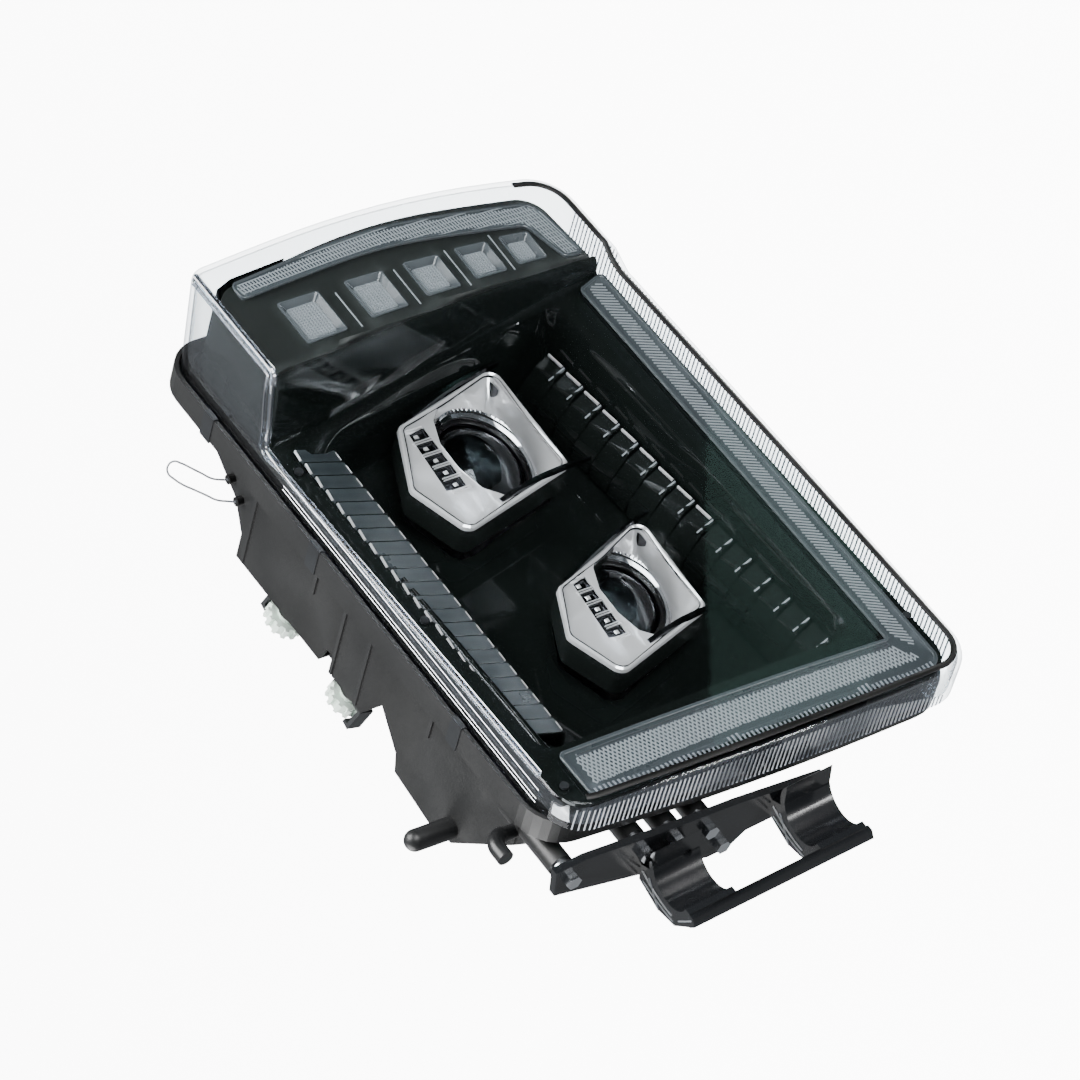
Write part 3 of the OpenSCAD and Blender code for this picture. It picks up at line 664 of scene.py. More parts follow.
    def build(self, name: str, finish: Finishes, body: Body = Body.LAMP,
              replaces: Sequence[str] = (), slot: Optional[str] = None, bevel: float = 0.0,
              smooth: float = 32.0, in_row: bool = False, shadow: bool = True) -> None:
        """Makes the object and ties it to its body.

        Args:
            name: the piece's name.
            finish: what it is made of.
            body: the body it rides on.
            replaces: the nodes it stands for.
            slot: the record's material slot; not used.
            bevel: width of its rounded edges, in millimetres.
            smooth: the angle up to which its faces blend, in degrees.
            in_row: whether its points are row-frame millimetres already.
            shadow: whether it shades what lies behind it.
        """
        points = np.array(self.points) * MM if in_row else LENS.row(np.array(self.points))
        mesh = bpy.data.meshes.new(name)
        mesh.from_pydata([tuple(p) for p in points], [], self.faces)
        mesh.validate()
        obj = put(name, mesh)
        obj.visible_shadow = shadow
        fix_normals(mesh)
        mesh.shade_smooth()
        mesh.set_sharp_from_angle(angle=math.radians(smooth))
        if bevel:
            round_edges(obj, bevel)
        finish.slots(obj)
        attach(obj, body.value)
        if replaces:
            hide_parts(*replaces)


def fix_normals(mesh: bpy.types.Mesh) -> None:
    """Turns every face of a mesh outwards.

    Args:
        mesh: the mesh.
    """
    work = bmesh.new()
    work.from_mesh(mesh)
    bmesh.ops.recalc_face_normals(work, faces=work.faces)
    work.to_mesh(mesh)
    work.free()


def round_edges(obj: bpy.types.Object, width: float, segments: int = 2,
                angle: float = 34.0) -> None:
    """Rounds an object's sharp edges.

    Args:
        obj: the object.
        width: in millimetres.
        segments: steps across each rounding.
        angle: edges sharper than this are rounded, in degrees.
    """
    mod = obj.modifiers.new("rounded_edges", "BEVEL")
    mod.width = width * MM
    mod.segments = segments
    mod.limit_method = "ANGLE"
    mod.angle_limit = math.radians(angle)


def dress(node: str, finish: Finishes, bevel: float = 0.0) -> None:
    """Gives a carried-over node its finish and softened edges, and logs it.

    Args:
        node: its name.
        finish: what it is made of.
        bevel: width of its rounded edges, in millimetres.
    """
    obj = frame["nodes"][node]
    finish.slots(obj)
    obj.data.shade_smooth()
    obj.data.set_sharp_from_angle(angle=math.radians(NODE_SHARP))
    if bevel:
        round_edges(obj, bevel)
    LOG.info("dressed %s in %s", node, finish.value.name)


# ---------------------------------------------------------------- camera and light


@dataclass(frozen=True)
class Studio:
    """Camera, floor and soft lights."""

    azimuth: float = -30.25
    elevation: float = 41.67
    roll: float = -97.5
    aim: tuple[float, float, float] = (0.2072, -0.0813, 0.1313)
    reach: float = 3.575
    lens_mm: float = 180.0
    floor_drop: float = 0.7
    floor_half: float = 12.0
    lamp_reach: float = 2.0
    room: float = 0.38
    paper: float = 9.0
    flag: tuple[float, float, float] = (0.66, -0.66, -0.36)
    # each lamp's name, direction along the lens's axes, side in metres, watts and tint
    lamps: tuple = (("key", (0.5, 0.8, 0.35), 1.5, 130, "ffffff"),
                    ("fill", (-0.75, -0.5, 0.4), 0.42, 26, "ffffff"),
                    ("low", (0.45, -0.86, 0.2), 0.7, 22, "ffffff"),
                    ("top", (-0.3, 0.1, 0.95), 1.2, 60, "ffffff"),
                    ("rear", (-0.2, 0.5, -0.85), 1.6, 70, "ffffff"),
                    ("sash", (0.37, -0.60, 0.69), 0.3, 0.6, "7fa79b"))

    def camera(self) -> None:
        """Makes the camera at its three-quarter view."""
        data = bpy.data.cameras.new("camera")
        data.lens = self.lens_mm
        data.sensor_width = 36.0
        data.clip_start, data.clip_end = 0.05, 50.0
        cam = put("camera", data)
        a, e = math.radians(self.azimuth), math.radians(self.elevation)
        back = Vector((math.sin(a) * math.cos(e), -math.cos(a) * math.cos(e), math.sin(e)))
        across = Vector((0, 0, 1)).cross(back).normalized()
        up = back.cross(across)
        r = math.radians(self.roll)
        right = across * math.cos(r) + up * math.sin(r)
        true_up = back.cross(right)
        turn = Matrix((right, true_up, back)).transposed()
        cam.matrix_world = Matrix.Translation(Vector(self.aim) + back * self.reach) @ turn.to_4x4()
        bpy.context.scene.camera = cam

    def floor(self) -> None:
        """A plain pale floor, well below the lamp as it hangs from its bracket."""
        half = self.floor_half
        low = CAD_BOX[0].z - self.floor_drop
        mesh = bpy.data.meshes.new("floor")
        corners = [(-half, -half, low), (half, -half, low), (half, half, low), (-half, half, low)]
        mesh.from_pydata(corners, [], [(0, 1, 2, 3)])
        obj = put("floor", mesh)
        mat = bpy.data.materials.new("pale_studio_paper")
        mat.use_nodes = True
        shader = mat.node_tree.nodes["Principled BSDF"]
        shader.inputs["Base Color"].default_value = linear("f6f6f6")
        shader.inputs["Roughness"].default_value = 0.9
        shader.inputs["Emission Color"].default_value = linear("ffffff")
        shader.inputs["Emission Strength"].default_value = self.paper
        mesh.materials.append(mat)
        # the paper is a backdrop only, so it doesn't veil the dark lens
        obj.visible_glossy = False
        obj.visible_diffuse = False

    def lamp(self, name: str, spot: Sequence[float], size: float, power: float,
             tint: str) -> None:
        """A square soft light aimed at the headlamp.

        Args:
            name: the light's name.
            spot: its place in the room, in metres.
            size: side of the square, in metres.
            power: watts.
            tint: sRGB colour.
        """
        data = bpy.data.lights.new(name, "AREA")
        data.shape, data.size, data.energy = "SQUARE", size, power
        data.color = linear(tint)[:3]
        obj = put(name, data)
        obj.location = spot
        obj.visible_camera = False
        obj.rotation_mode = "QUATERNION"
        obj.rotation_quaternion = (Vector(self.aim) - Vector(spot)).to_track_quat("-Z", "Y")

    def seen_from(self, a: float, b: float, h: float) -> Vector:
        """A lamp's place in a direction given along the lens's axes.

        Args:
            a: share along the lens's length.
            b: share up the lens.
            h: share out of its face.

        Returns:
            The place in the room, in metres.
        """
        way = Vector(LENS.turn() @ np.array((a, b, h))).normalized()
        return Vector(self.aim) + way * self.lamp_reach

    def surroundings(self) -> None:
        """A dim room that the camera itself sees as plain pale paper."""
        world = bpy.data.worlds.new("studio")
        world.use_nodes = True
        tree = world.node_tree
        tree.nodes.clear()
        path = add_node(tree, "ShaderNodeLightPath")
        spot = add_node(tree, "ShaderNodeTexCoord")
        facing = add_node(tree, "ShaderNodeVectorMath", {"operation": "DOT_PRODUCT",
                                                         1: self.flag},
                          {0: spot.outputs["Generated"]})
        # a black flag in the direction that the flat of the lens mirrors
        dim = add_node(tree, "ShaderNodeMapRange", {1: 0.5, 2: 0.93, 3: self.room, 4: 0.02,
                                                    "interpolation_type": "SMOOTHSTEP"},
                       {0: facing.outputs["Value"]})
        room = add_node(tree, "ShaderNodeBackground", {0: linear("f2f5f8")},
                        {1: dim.outputs[0]})
        paper = add_node(tree, "ShaderNodeBackground", {0: linear("ffffff"), 1: self.paper})
        mix = add_node(tree, "ShaderNodeMixShader", {}, {0: path.outputs["Is Camera Ray"],
                                                        1: room.outputs[0],
                                                        2: paper.outputs[0]})
        add_node(tree, "ShaderNodeOutputWorld", {}, {"Surface": mix.outputs[0]})
        bpy.context.scene.world = world

    def light(self) -> None:
        """Soft even studio light, with a key from above and the outer end."""
        for name, way, size, power, tint in self.lamps:
            self.lamp(name, self.seen_from(*way), size, power, tint)

    def build(self) -> None:
        """Makes everything that isn't the lamp."""
        self.camera()
        self.floor()
        self.surroundings()
        self.light()


@dataclass(frozen=True)
class LinkWire:
    """The loose loop of wire between the two grommets on the top wall."""

    radius: float = 0.8
    # length of the smooth curve against the straight chords between its points
    arc_share: float = 1.01
    route: tuple = ((412, -8, -43), (412, -2, -43), (413, 4, -42), (415, 11, -40), (419, 18, -36),
                    (423, 25, -32), (427, 31, -29), (430, 36, -28), (430, 40, -31), (427, 41, -35),
                    (423, 38, -38), (418, 33, -41), (413, 26, -44), (408, 19, -47), (403, 12, -50),
                    (400, 5, -51), (398, -2, -52), (398, -8, -52))

    def build(self) -> None:
        """Makes the wire as one smooth curve."""
        points = LENS.row(np.array(self.route, float))
        curve = bpy.data.curves.new("link_wire_loop", "CURVE")
        curve.dimensions = "3D"
        curve.bevel_depth = self.radius * MM
        curve.bevel_resolution = 3
        curve.use_fill_caps = True
        line = curve.splines.new("BEZIER")
        line.bezier_points.add(len(points) - 1)
        for knot, p in zip(line.bezier_points, points):
            knot.co = p
            knot.handle_left_type = knot.handle_right_type = "AUTO"
        obj = put("link_wire_loop", curve)
        Finishes.WIRE.slots(obj)
        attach(obj, Body.LAMP.value)
        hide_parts("link_wire")


# ---------------------------------------------------------------- outer lens


def wall_loop(inset: float, back: float, height: float) -> np.ndarray:
    """The rim's outline at one height, N by 3."""
    loop = SHAPE.outline(inset, back)
    return np.column_stack([loop, np.full(len(loop), height)])


def face_loop(inset: float, drop: float) -> np.ndarray:
    """The rim's outline on the sunk face, N by 3."""
    loop = SHAPE.outline(inset, crest=SHAPE.face_crest)
    return np.column_stack([loop, SHAPE.height(loop[:, 0], loop[:, 1], drop)])


def face_rows(inset: float, drop: float, step: float = 9.0) -> np.ndarray:
    """Inner points of the face, crowded round the brow's step.

    Args:
        inset: how far the rows keep inside the rim.
        drop: how far the face is sunk.
        step: distance between points.

    Returns:
        N by 2, (a, b).
    """
    rows = []
    for b in np.arange(-inset - 3, -SHAPE.high + 6, -step):
        foot = SHAPE.brow_foot - 32 * b / SHAPE.high + 0.6 * drop
        top = foot + SHAPE.lean + 3 * b / SHAPE.high
        near = [foot - 2.5, foot - 0.8, foot, foot + 1.2, (foot + top) / 2, top - 1.2, top,
                top + 0.8, top + 2.5]
        flat = np.arange(step, foot - 6, step)
        brow = np.arange(top + 7, SHAPE.length, step)
        rows += [(a, b) for a in [*flat, *near, *brow]]
    return np.array(rows)


def side_line(loop: np.ndarray, axis: int, under: float) -> Callable[[float], float]:
    """One side of an outline, as a function of the way along it.

    Args:
        loop: N by 2.
        axis: the coordinate that the function gives, 0 for a or 1 for b.
        under: the side's points all have less than this there.

    Returns:
        A function from the other coordinate to this one.
    """
    side = loop[loop[:, axis] < under]
    side = side[np.argsort(side[:, 1 - axis])]
    return lambda at: float(np.interp(at, side[:, 1 - axis], side[:, axis]))


@dataclass
class ClearLens:
    """The clear stepped lens, its flutes and its black edge bead."""

    wall: float = 3.0
    corner: float = 5.0
    inner_round: float = 2.6
    skirt: float = 14.0
    flute_pitch: float = 3.75
    flute_wide: float = 1.7
    band_inset: float = 9.8
    band_wide: float = 6.2
    notch: float = 3.0
    notches: tuple = ((-150, -136), (-262, -248))
    lip_deep: float = 2.2
    lip_half: float = 4.2
    lip_thin_half: float = 2.0
    lip_thick: float = 1.7
    line_thick: float = 0.7
    bead_inset: float = 7.6
    bead_wide: float = 4.6
    bead_high: float = 1.4

    def face(self, solid: Solid, inset: float, drop: float) -> None:
        """Adds one bare side of the face to a solid.

        Args:
            solid: where it goes.
            inset: how far inside the rim it ends.
            drop: how far it is sunk.
        """
        sheet = Solid()
        outline = SHAPE.outline(inset, crest=SHAPE.face_crest)
        sheet.sheet(outline, [], SHAPE.at(drop), 0.0, 9.0, face_rows(inset, drop))
        half = len(sheet.points) // 2
        solid.add(sheet.points[:half], [f for f in sheet.faces if max(f) < half])

    def shell(self) -> None:
        """The lens itself: outer face, rounded edge, skirt and inner face."""
        solid = Solid()
        deep = self.corner + 0.6
        self.face(solid, self.corner, 0)
        self.face(solid, deep, self.wall)
        # the outer rounding, the skirt down into the groove and up again, the inner rounding
        rings = [face_loop(self.corner, 0)]
        for t in (18, 36, 54, 72, 90):
            s = math.radians(t)
            rings.append(face_loop(self.corner * (1 - math.sin(s)),
                                   self.corner * (1 - math.cos(s))))
        back = SHAPE.foot_inset
        rings += [wall_loop(0, 0, 1.5), wall_loop(0, back, 0.2), wall_loop(0, back, -self.skirt),
                  wall_loop(self.wall, back, -self.skirt), wall_loop(self.wall, back, 3.0),
                  wall_loop(self.wall, 0, 4.5)]
        for t in (90, 60, 30, 0):
            s = math.radians(t)
            rings.append(face_loop(self.wall + (deep - self.wall) * (1 - math.sin(s)),
                                   self.wall + self.inner_round * (1 - math.cos(s))))
        solid.loft(rings, caps=False)
        solid.build("outer_lens_clear", Finishes.LENS_PC, replaces=["outer_lens"],
                    slot="lens_pc", smooth=40, shadow=False)

    def end_flutes(self, solid: Solid) -> None:
        """Flutes on the inner end's wall, shorter towards the bottom corner.

        Args:
            solid: where they go.
        """
        end = side_line(SHAPE.outline(), 0, 30)
        foot = 1.8
        for b in np.arange(-10, -322, -self.flute_pitch):
            a = end(b)
            tall = SHAPE.spot_height(a, b) - 5 - foot
            share = max(1 - 0.75 * max(0.0, (-b - 250) / 80), 0.2)
            solid.bar((a, b, foot), (a, b, foot + tall * share), self.flute_wide, 0.45,
                      (-1, 0, 0), 0.4)

    def face_flutes(self, solid: Solid) -> None:
        """A wavy band of flutes on the back of the face, just inside the bead.

        Args:
            solid: where they go.
        """
        end = side_line(SHAPE.outline(), 0, 30)
        for b in np.arange(-30, -318, -self.flute_pitch):
            a = end(b) + self.band_inset
            notch = self.notch if any(low < b < high for low, high in self.notches) else 0
            far = a + self.band_wide + 0.9 * math.sin(b / 9) + notch
            solid.bar((a, b, SHAPE.spot_height(a, b, self.wall)),
                      (far, b, SHAPE.spot_height(far, b, self.wall)), 1.8, 0.5, (0, 0, -1), 0.4)

    def bottom_flutes(self, solid: Solid) -> None:
        """Flutes on the bottom wall.

        Args:
            solid: where they go.
        """
        bottom = side_line(SHAPE.outline(), 1, -290)
        for a in np.arange(32, 470, self.flute_pitch):
            b = bottom(a)
            solid.bar((a, b, 3.0), (a, b, SHAPE.spot_height(a, b) - 6), self.flute_wide, 0.35,
                      (0, -1, 0), 0.4)

    def flutes(self) -> None:
        """The moulded flutes, as one piece."""
        solid = Solid()
        self.end_flutes(solid)
        self.face_flutes(solid)
        self.bottom_flutes(solid)
        solid.build("outer_lens_flutes", Finishes.FLUTE_PC, slot="lens_pc", shadow=False)

    def ridges(self) -> None:
        """Fine ridge lines along the top wall, as left by the moulding tool's slides."""
        solid = Solid()
        for h in (2.5, 6.0, 14.0):
            for a in np.arange(34, 352, 53):
                solid.bar((a, -0.05, h), (a + 53, -0.05, h), 1.0, 0.3, (0, 1, 0), 0.4)
        solid.build("outer_lens_ridges", Finishes.FLUTE_PC, slot="lens_pc", shadow=False)

    def lip_path(self) -> tuple[np.ndarray, int]:
        """The lip's middle line along the brow's top edge, down its step and on to the end.

        Returns:
            Its points, N by 3, and how many of them lie on the brow and the step.
        """
        top = SHAPE.brow_foot + SHAPE.lean
        b = -self.lip_deep

        def on_face(a: float) -> tuple[float, float, float]:
            """A point just under the face, at the lip's b."""
            return (a, b, SHAPE.spot_height(a, b) - 1.0)

        path = [on_face(a) for a in np.linspace(SHAPE.length - 9, top + 3, 16)]
        for t in np.linspace(0, 1, 9):
            ease = t * t * (3 - 2 * t)
            path.append((top + 1.5 - 9.0 * ease, b, SHAPE.brow_rise - 3.0 - 58.0 * t))
        stepped = len(path) + 1
        path += [on_face(a) for a in np.linspace(top - 14, 40, 24)]
        return np.array(path), stepped

    def lip(self) -> None:
        """The thick clear ridge along the lip's path, with a bright line on each edge."""
        centre, stepped = self.lip_path()
        rings: tuple[list, list, list] = ([], [], [])
        turns = np.linspace(0, 2 * math.pi, 11)[:-1]
        outward = np.array((0, self.lip_thick, 0))
        for i, p in enumerate(centre):
            ahead = centre[min(i + 1, len(centre) - 1)] - centre[max(i - 1, 0)]
            ahead = ahead / np.linalg.norm(ahead)
            side = np.cross(ahead, (0, 1, 0))
            side = side / np.linalg.norm(side)
            half = self.lip_half if i < stepped else self.lip_thin_half
            strands = ((0.0, half - 0.9), (half, self.line_thick), (-half, self.line_thick))
            for ring, (shift, thick) in zip(rings, strands):
                mid = p + side * shift
                ring.append(np.array([mid + side * thick * math.cos(u) + outward * math.sin(u)
                                      for u in turns]))
        solid = Solid()
        solid.loft(rings[0])
        solid.build("outer_lens_lip", Finishes.RIDGE_PC, slot="lens_pc", smooth=60,
                    shadow=False)
        lines = Solid()
        lines.loft(rings[1])
        lines.loft(rings[2])
        lines.build("outer_lens_lip_lines", Finishes.LIP_PC, slot="lens_pc", smooth=60)

    def bead(self) -> None:
        """The black bead along the bottom edge and the inner end."""
        loop = SHAPE.outline(self.bead_inset, per_side=40)
        # it leaves out the top edge and the brow's outer end
        on = (loop[:, 1] < -16 - 0.04 * loop[:, 0]) & (loop[:, 1] < -60 - 0.868 * (loop[:, 0] - 250))
        first = int(np.argmax(~on))
        order = [i % len(loop) for i in range(first, first + len(loop))]
        path = np.array([loop[i] for i in order if on[i]])
        heights = SHAPE.height(path[:, 0], path[:, 1])
        solid = Solid()
        solid.strip(path, heights, self.bead_wide, self.bead_high, 0.3)
        solid.build("lens_edge_bead_rubber", Finishes.RUBBER, replaces=["lens_edge_bead"],
                    slot="sealant")

    def build(self) -> None:
        """Makes the lens's pieces."""
        self.shell()
        self.flutes()
        self.ridges()
        self.lip()
        self.bead()


# ---------------------------------------------------------------- bezels and light guides


def evened(loop: np.ndarray, step: float = 6.0) -> np.ndarray:
    """A closed loop with extra points on its long sides.

    Args:
        loop: N by 2.
        step: the furthest that two points may be apart.

    Returns:
        The denser loop.
    """
    made = []
    for p, q in zip(loop, np.roll(loop, -1, 0)):
        n = max(1, int(math.ceil(float(np.linalg.norm(q - p)) / step)))
        made += [p + (q - p) * i / n for i in range(n)]
    return np.array(made)


def lift(loop: np.ndarray, drop: float) -> np.ndarray:
    """A loop on the face sunk by drop, N by 3."""
    return np.column_stack([loop, SHAPE.height(loop[:, 0], loop[:, 1], drop)])


def level(loop: np.ndarray, height: float) -> np.ndarray:
    """A loop at one height, N by 3."""
    return np.column_stack([loop, np.full(len(loop), height)])


@dataclass
class MainBezel:
    """The gloss-black bezel: its top band, its tray and the slope up to the brow."""

    drop: float = 12.0
    panel_drop: float = 14.5
    thick: float = 2.4
    floor: float = -31.5
    tray: tuple = ((62, -24, 14), (378, -24, 14), (414, -262, 14), (62, -286, 14))
    tray_foot: tuple = ((67, -67, 12), (372, -67, 12), (404, -254, 12), (67, -274, 12))
    edge: tuple = ((10, -12, 16), (391, -12, 4), (418.5, -306, 6), (10, -338, 22))

    def build(self) -> None:
        """Makes the bezel's mesh."""
        solid = Solid()
        tray = evened(rounded_loop(self.tray))
        solid.sheet(evened(rounded_loop(self.edge)), [tray], SHAPE.at(self.drop), self.thick,
                    10.0)
        foot = rounded_loop(self.tray_foot)
        centre = tray.mean(0)
        foot = match_loop(tray, evened(foot), centre)
        rings = []
        for t in np.linspace(0, 1, 7):
            ease = t * t * (3 - 2 * t)
            loop = tray * (1 - t) + foot * t
            top = lift(loop, self.drop)
            top[:, 2] = top[:, 2] * (1 - ease) + self.floor * ease
            rings.append(top)
        solid.loft(rings, caps=False)
        holes = [spot.well() for spot in (Projector.low(), Projector.high())]
        solid.sheet(foot, holes, lambda a, b: a * 0 + self.floor, 2.0, 12.0)
        solid.build("main_bezel_gloss", Finishes.BEZEL_GLOSS, replaces=["main_bezel"],
                    slot="gloss_black", smooth=50)
        self.slope()

    def slope(self) -> None:
        """The slope from the tray's band up to the turn-signal panel."""
        rings = []
        for b in np.linspace(-14, -303, 30):
            foot = SHAPE.brow_foot - 32 * b / SHAPE.high + 0.6 * self.drop - 3.5
            low = SHAPE.spot_height(foot - 4, b, self.drop)
            high = SHAPE.spot_height(foot + 40, b, self.panel_drop)
            rise = high - low
            wide = 9.0 + 2.5 * b / SHAPE.high
            section = [(-4, 0.4), (0, 0.5), (1.6, 0.08 * rise + 0.6), (3.0, 0.25 * rise),
                       (wide * 0.55, 0.6 * rise), (wide * 0.8, 0.88 * rise),
                       (wide, 0.99 * rise), (wide + 3, rise), (wide + 3, rise - self.thick),
                       (wide * 0.6 + 2, 0.4 * rise), (2.0, -1.6), (-4, -1.6)]
            rings.append(np.array([(foot + s, b, low + z) for s, z in section]))
        solid = Solid()
        solid.loft(rings)
        solid.build("brow_slope_gloss", Finishes.BEZEL_GLOSS, slot="gloss_black", smooth=55)


def match_loop(near: np.ndarray, far: np.ndarray, centre: np.ndarray) -> np.ndarray:
    """Points of one loop at the share of the way round that another loop's points have.

    Args:
        near: the loop that sets the count, N by 2.
        far: the loop that is sampled.
        centre: a point inside both, and both start at the same side of it.

    Returns:
        N by 2 points on the far loop.
    """
    def shares(loop: np.ndarray) -> np.ndarray:
        """Share of the way round of each point, with the first repeated at the end."""
        steps = np.linalg.norm(np.roll(loop, -1, 0) - loop, axis=1)
        return np.concatenate([[0], np.cumsum(steps)]) / steps.sum()

    def start(loop: np.ndarray) -> int:
        """The point nearest straight along a from the centre."""
        away = loop - centre
        return int(np.argmin(np.abs(np.arctan2(away[:, 1], away[:, 0]))))

    i, j = start(near), start(far)
    turned_near, turned_far = np.roll(near, -i, 0), np.roll(far, -j, 0)
    want = shares(turned_near)[:-1]
    have = shares(turned_far)
    closed = np.vstack([turned_far, turned_far[:1]])
    made = np.column_stack([np.interp(want, have, closed[:, k]) for k in (0, 1)])
    return np.roll(made, i, 0)


@dataclass
class Louvre:
    """The slatted wall along the top of the tray."""

    count: int = 21
    start: float = 84.0
    pitch: float = 14.0
    top: tuple = (-24.0, 7.5)
    foot: tuple = (-60.0, -4.5)
    twist: float = 1.6
    riser_foot: float = -31.2

    def build(self) -> None:
        """Makes the slats, their fins and the pale film bars that paint glints along the top and
        foot.
        """
        slats, fins, glints = Solid(), Solid(), Solid()
        along = np.array(self.foot) - np.array(self.top)
        normal = np.array((along[1], -along[0])) / np.linalg.norm(along)
        for i in range(self.count):
            a = self.start + i * self.pitch
            first, last = a + 0.4, a + self.pitch - 0.6
            rings = []
            for t in (0.0, 0.08, 0.5, 0.92, 1.0):
                p = np.array(self.top) + along * t
                edge = 0.5 if t in (0.0, 1.0) else 0.0
                face = [(x, *(p + normal * (out - edge)))
                        for x, out in ((first, 0.3), (a + 7, 1.0), (last, self.twist))]
                rings.append(np.array([(first, p[0], p[1] - 0.8), *face,
                                       (last, p[0], p[1] - 0.8)]))
            slats.loft(rings)
            p, q = np.array(self.top), np.array(self.foot)
            fins.bar((a - 0.1, p[0] + 0.5, p[1]), (a - 0.1, q[0], q[1]), 0.7, 2.0,
                     (0, normal[0], normal[1]))
            # pale film bars that paint the glints on each slat's top and foot edges
            glints.bar((a + 2, p[0] + 1.2, p[1] + 1.6), (a + 11.5, p[0] + 0.2, p[1] + 2.2), 2.0,
                       1.1, (0, 0.3, 1), 0.5)
            glints.bar((a + 2, q[0] + 0.6, q[1] + 1.4), (a + 10, q[0] + 0.6, q[1] + 1.7), 0.9,
                       0.6, (0, 0.3, 1), 0.5)
        # the black riser under the slats' lower edge
        end = self.start + self.count * self.pitch
        fins.loft([np.array([(a, self.foot[0] - 1.2, self.foot[1] - 0.4),
                             (a, self.foot[0] - 4.5, self.riser_foot),
                             (a, self.foot[0] - 3.0, self.riser_foot),
                             (a, self.foot[0] + 1.0, self.foot[1] - 2.0)])
                   for a in np.linspace(self.start, end, 12)])
        slats.build("upper_louvre_slats", Finishes.LOUVRE_SATIN, replaces=["upper_louvre"],
                    slot="satin_black", smooth=20)
        fins.build("upper_louvre_fins", Finishes.BEZEL_GLOSS, slot="gloss_black")
        glints.build("upper_louvre_tips", Finishes.FILM, slot="shroud_chrome", smooth=20)


@dataclass
class LowerTeeth:
    """Stepped blocks along the bottom of the tray."""

    count: int = 15
    # blocks numbered up to this get only a pale painted glint tick, without the bright painted glint
    # bar
    ticks: int = 5
    start: Point2 = (74.0, -274.0)
    slant: float = math.atan2(24, 338)
    pitch: float = 21.5
    gap: float = 2.2
    foot: float = -29.5

    def build(self) -> None:
        """Makes the blocks, their pale ticks and the bright bars on those past the first few, ticks
        and bars both painted glints.
        """
        blocks, tips, ticks = Solid(), Solid(), Solid()
        c, s = math.cos(self.slant), math.sin(self.slant)

        def spot(x: float, y: float, h: float) -> tuple[float, float, float]:
            """A point along and across the row, in the lens frame."""
            return (self.start[0] + x * c - y * s, self.start[1] + x * s + y * c, h)

        for i in range(self.count):
            x = i * self.pitch
            rings = []
            for wide in (0.0, 1.0):
                end = x + wide * (self.pitch - self.gap)
                rings.append(np.array([spot(end, -4.5, 10),
                                       spot(end, 3 + 4 * wide, 6 - 5 * wide),
                                       spot(end, 13 + 4 * wide, -16),
                                       spot(end, 17, self.foot),
                                       spot(end, -4.5, self.foot)]))
            blocks.loft(rings)
            # the bright bars and pale ticks are painted glints along the blocks' outer edge
            if i > self.ticks:
                tips.bar(spot(x + 3, -3.0, 10.2), spot(x + 17.5, -2.0, 10.2), 2.4, 1.4,
                         (0, 0.5, 1), 0.5)
            ticks.bar(spot(x + 1, -4.0, 10.0), spot(x + 2.2, 7.5, 1.0), 1.0, 1.2, (1, 0.2, 0.6),
                      0.4)
        blocks.build("lower_teeth_blocks", Finishes.BEZEL_GLOSS, replaces=["lower_teeth"],
                     slot="gloss_black", bevel=0.5, smooth=20)
        ticks.build("lower_teeth_ticks", Finishes.FROSTED_RIB, slot="shroud_chrome", smooth=20)
        tips.build("lower_teeth_tips", Finishes.FILM, slot="shroud_chrome", smooth=20)


def ribs_across(solid: Solid, region: np.ndarray, top: Height, pitch: float, wide: float,
                rise: float, angle: float, gap: float = 1.2) -> None:
    """Parallel ribs over a region of the face.

    Args:
        solid: where they go.
        region: closed outline, N by 2.
        top: height of the face.
        pitch: distance between ribs.
        wide: width of each.
        rise: how far each stands up.
        angle: direction of the ribs in the (a, b) plane, in degrees.
        gap: clearance from the region's edge.
    """
    d = np.array((math.cos(math.radians(angle)), math.sin(math.radians(angle))))
    n = np.array((-d[1], d[0]))
    across, along = region @ n, region @ d
    for s in np.arange(across.min() + pitch / 2, across.max(), pitch):
        steps = np.arange(along.min(), along.max(), 1.0)
        points = n * s + d * steps[:, None]
        ok = inside(points, region)
        runs = np.flatnonzero(np.diff(np.concatenate([[0], ok.astype(int), [0]])))
        for first, last in zip(runs[::2], runs[1::2]):
            if last - first < 2 * gap + 2:
                continue
            p, q = points[first] + d * gap, points[last - 1] - d * gap
            count = max(2, int(np.linalg.norm(q - p) / 14) + 1)
            spots = [p + (q - p) * t for t in np.linspace(0, 1, count)]
            for u, v in zip(spots, spots[1:]):
                hu = float(top(np.array(u[0]), np.array(u[1])))
                hv = float(top(np.array(v[0]), np.array(v[1])))
                solid.bar((u[0], u[1], hu), (v[0], v[1], hv), wide, rise)


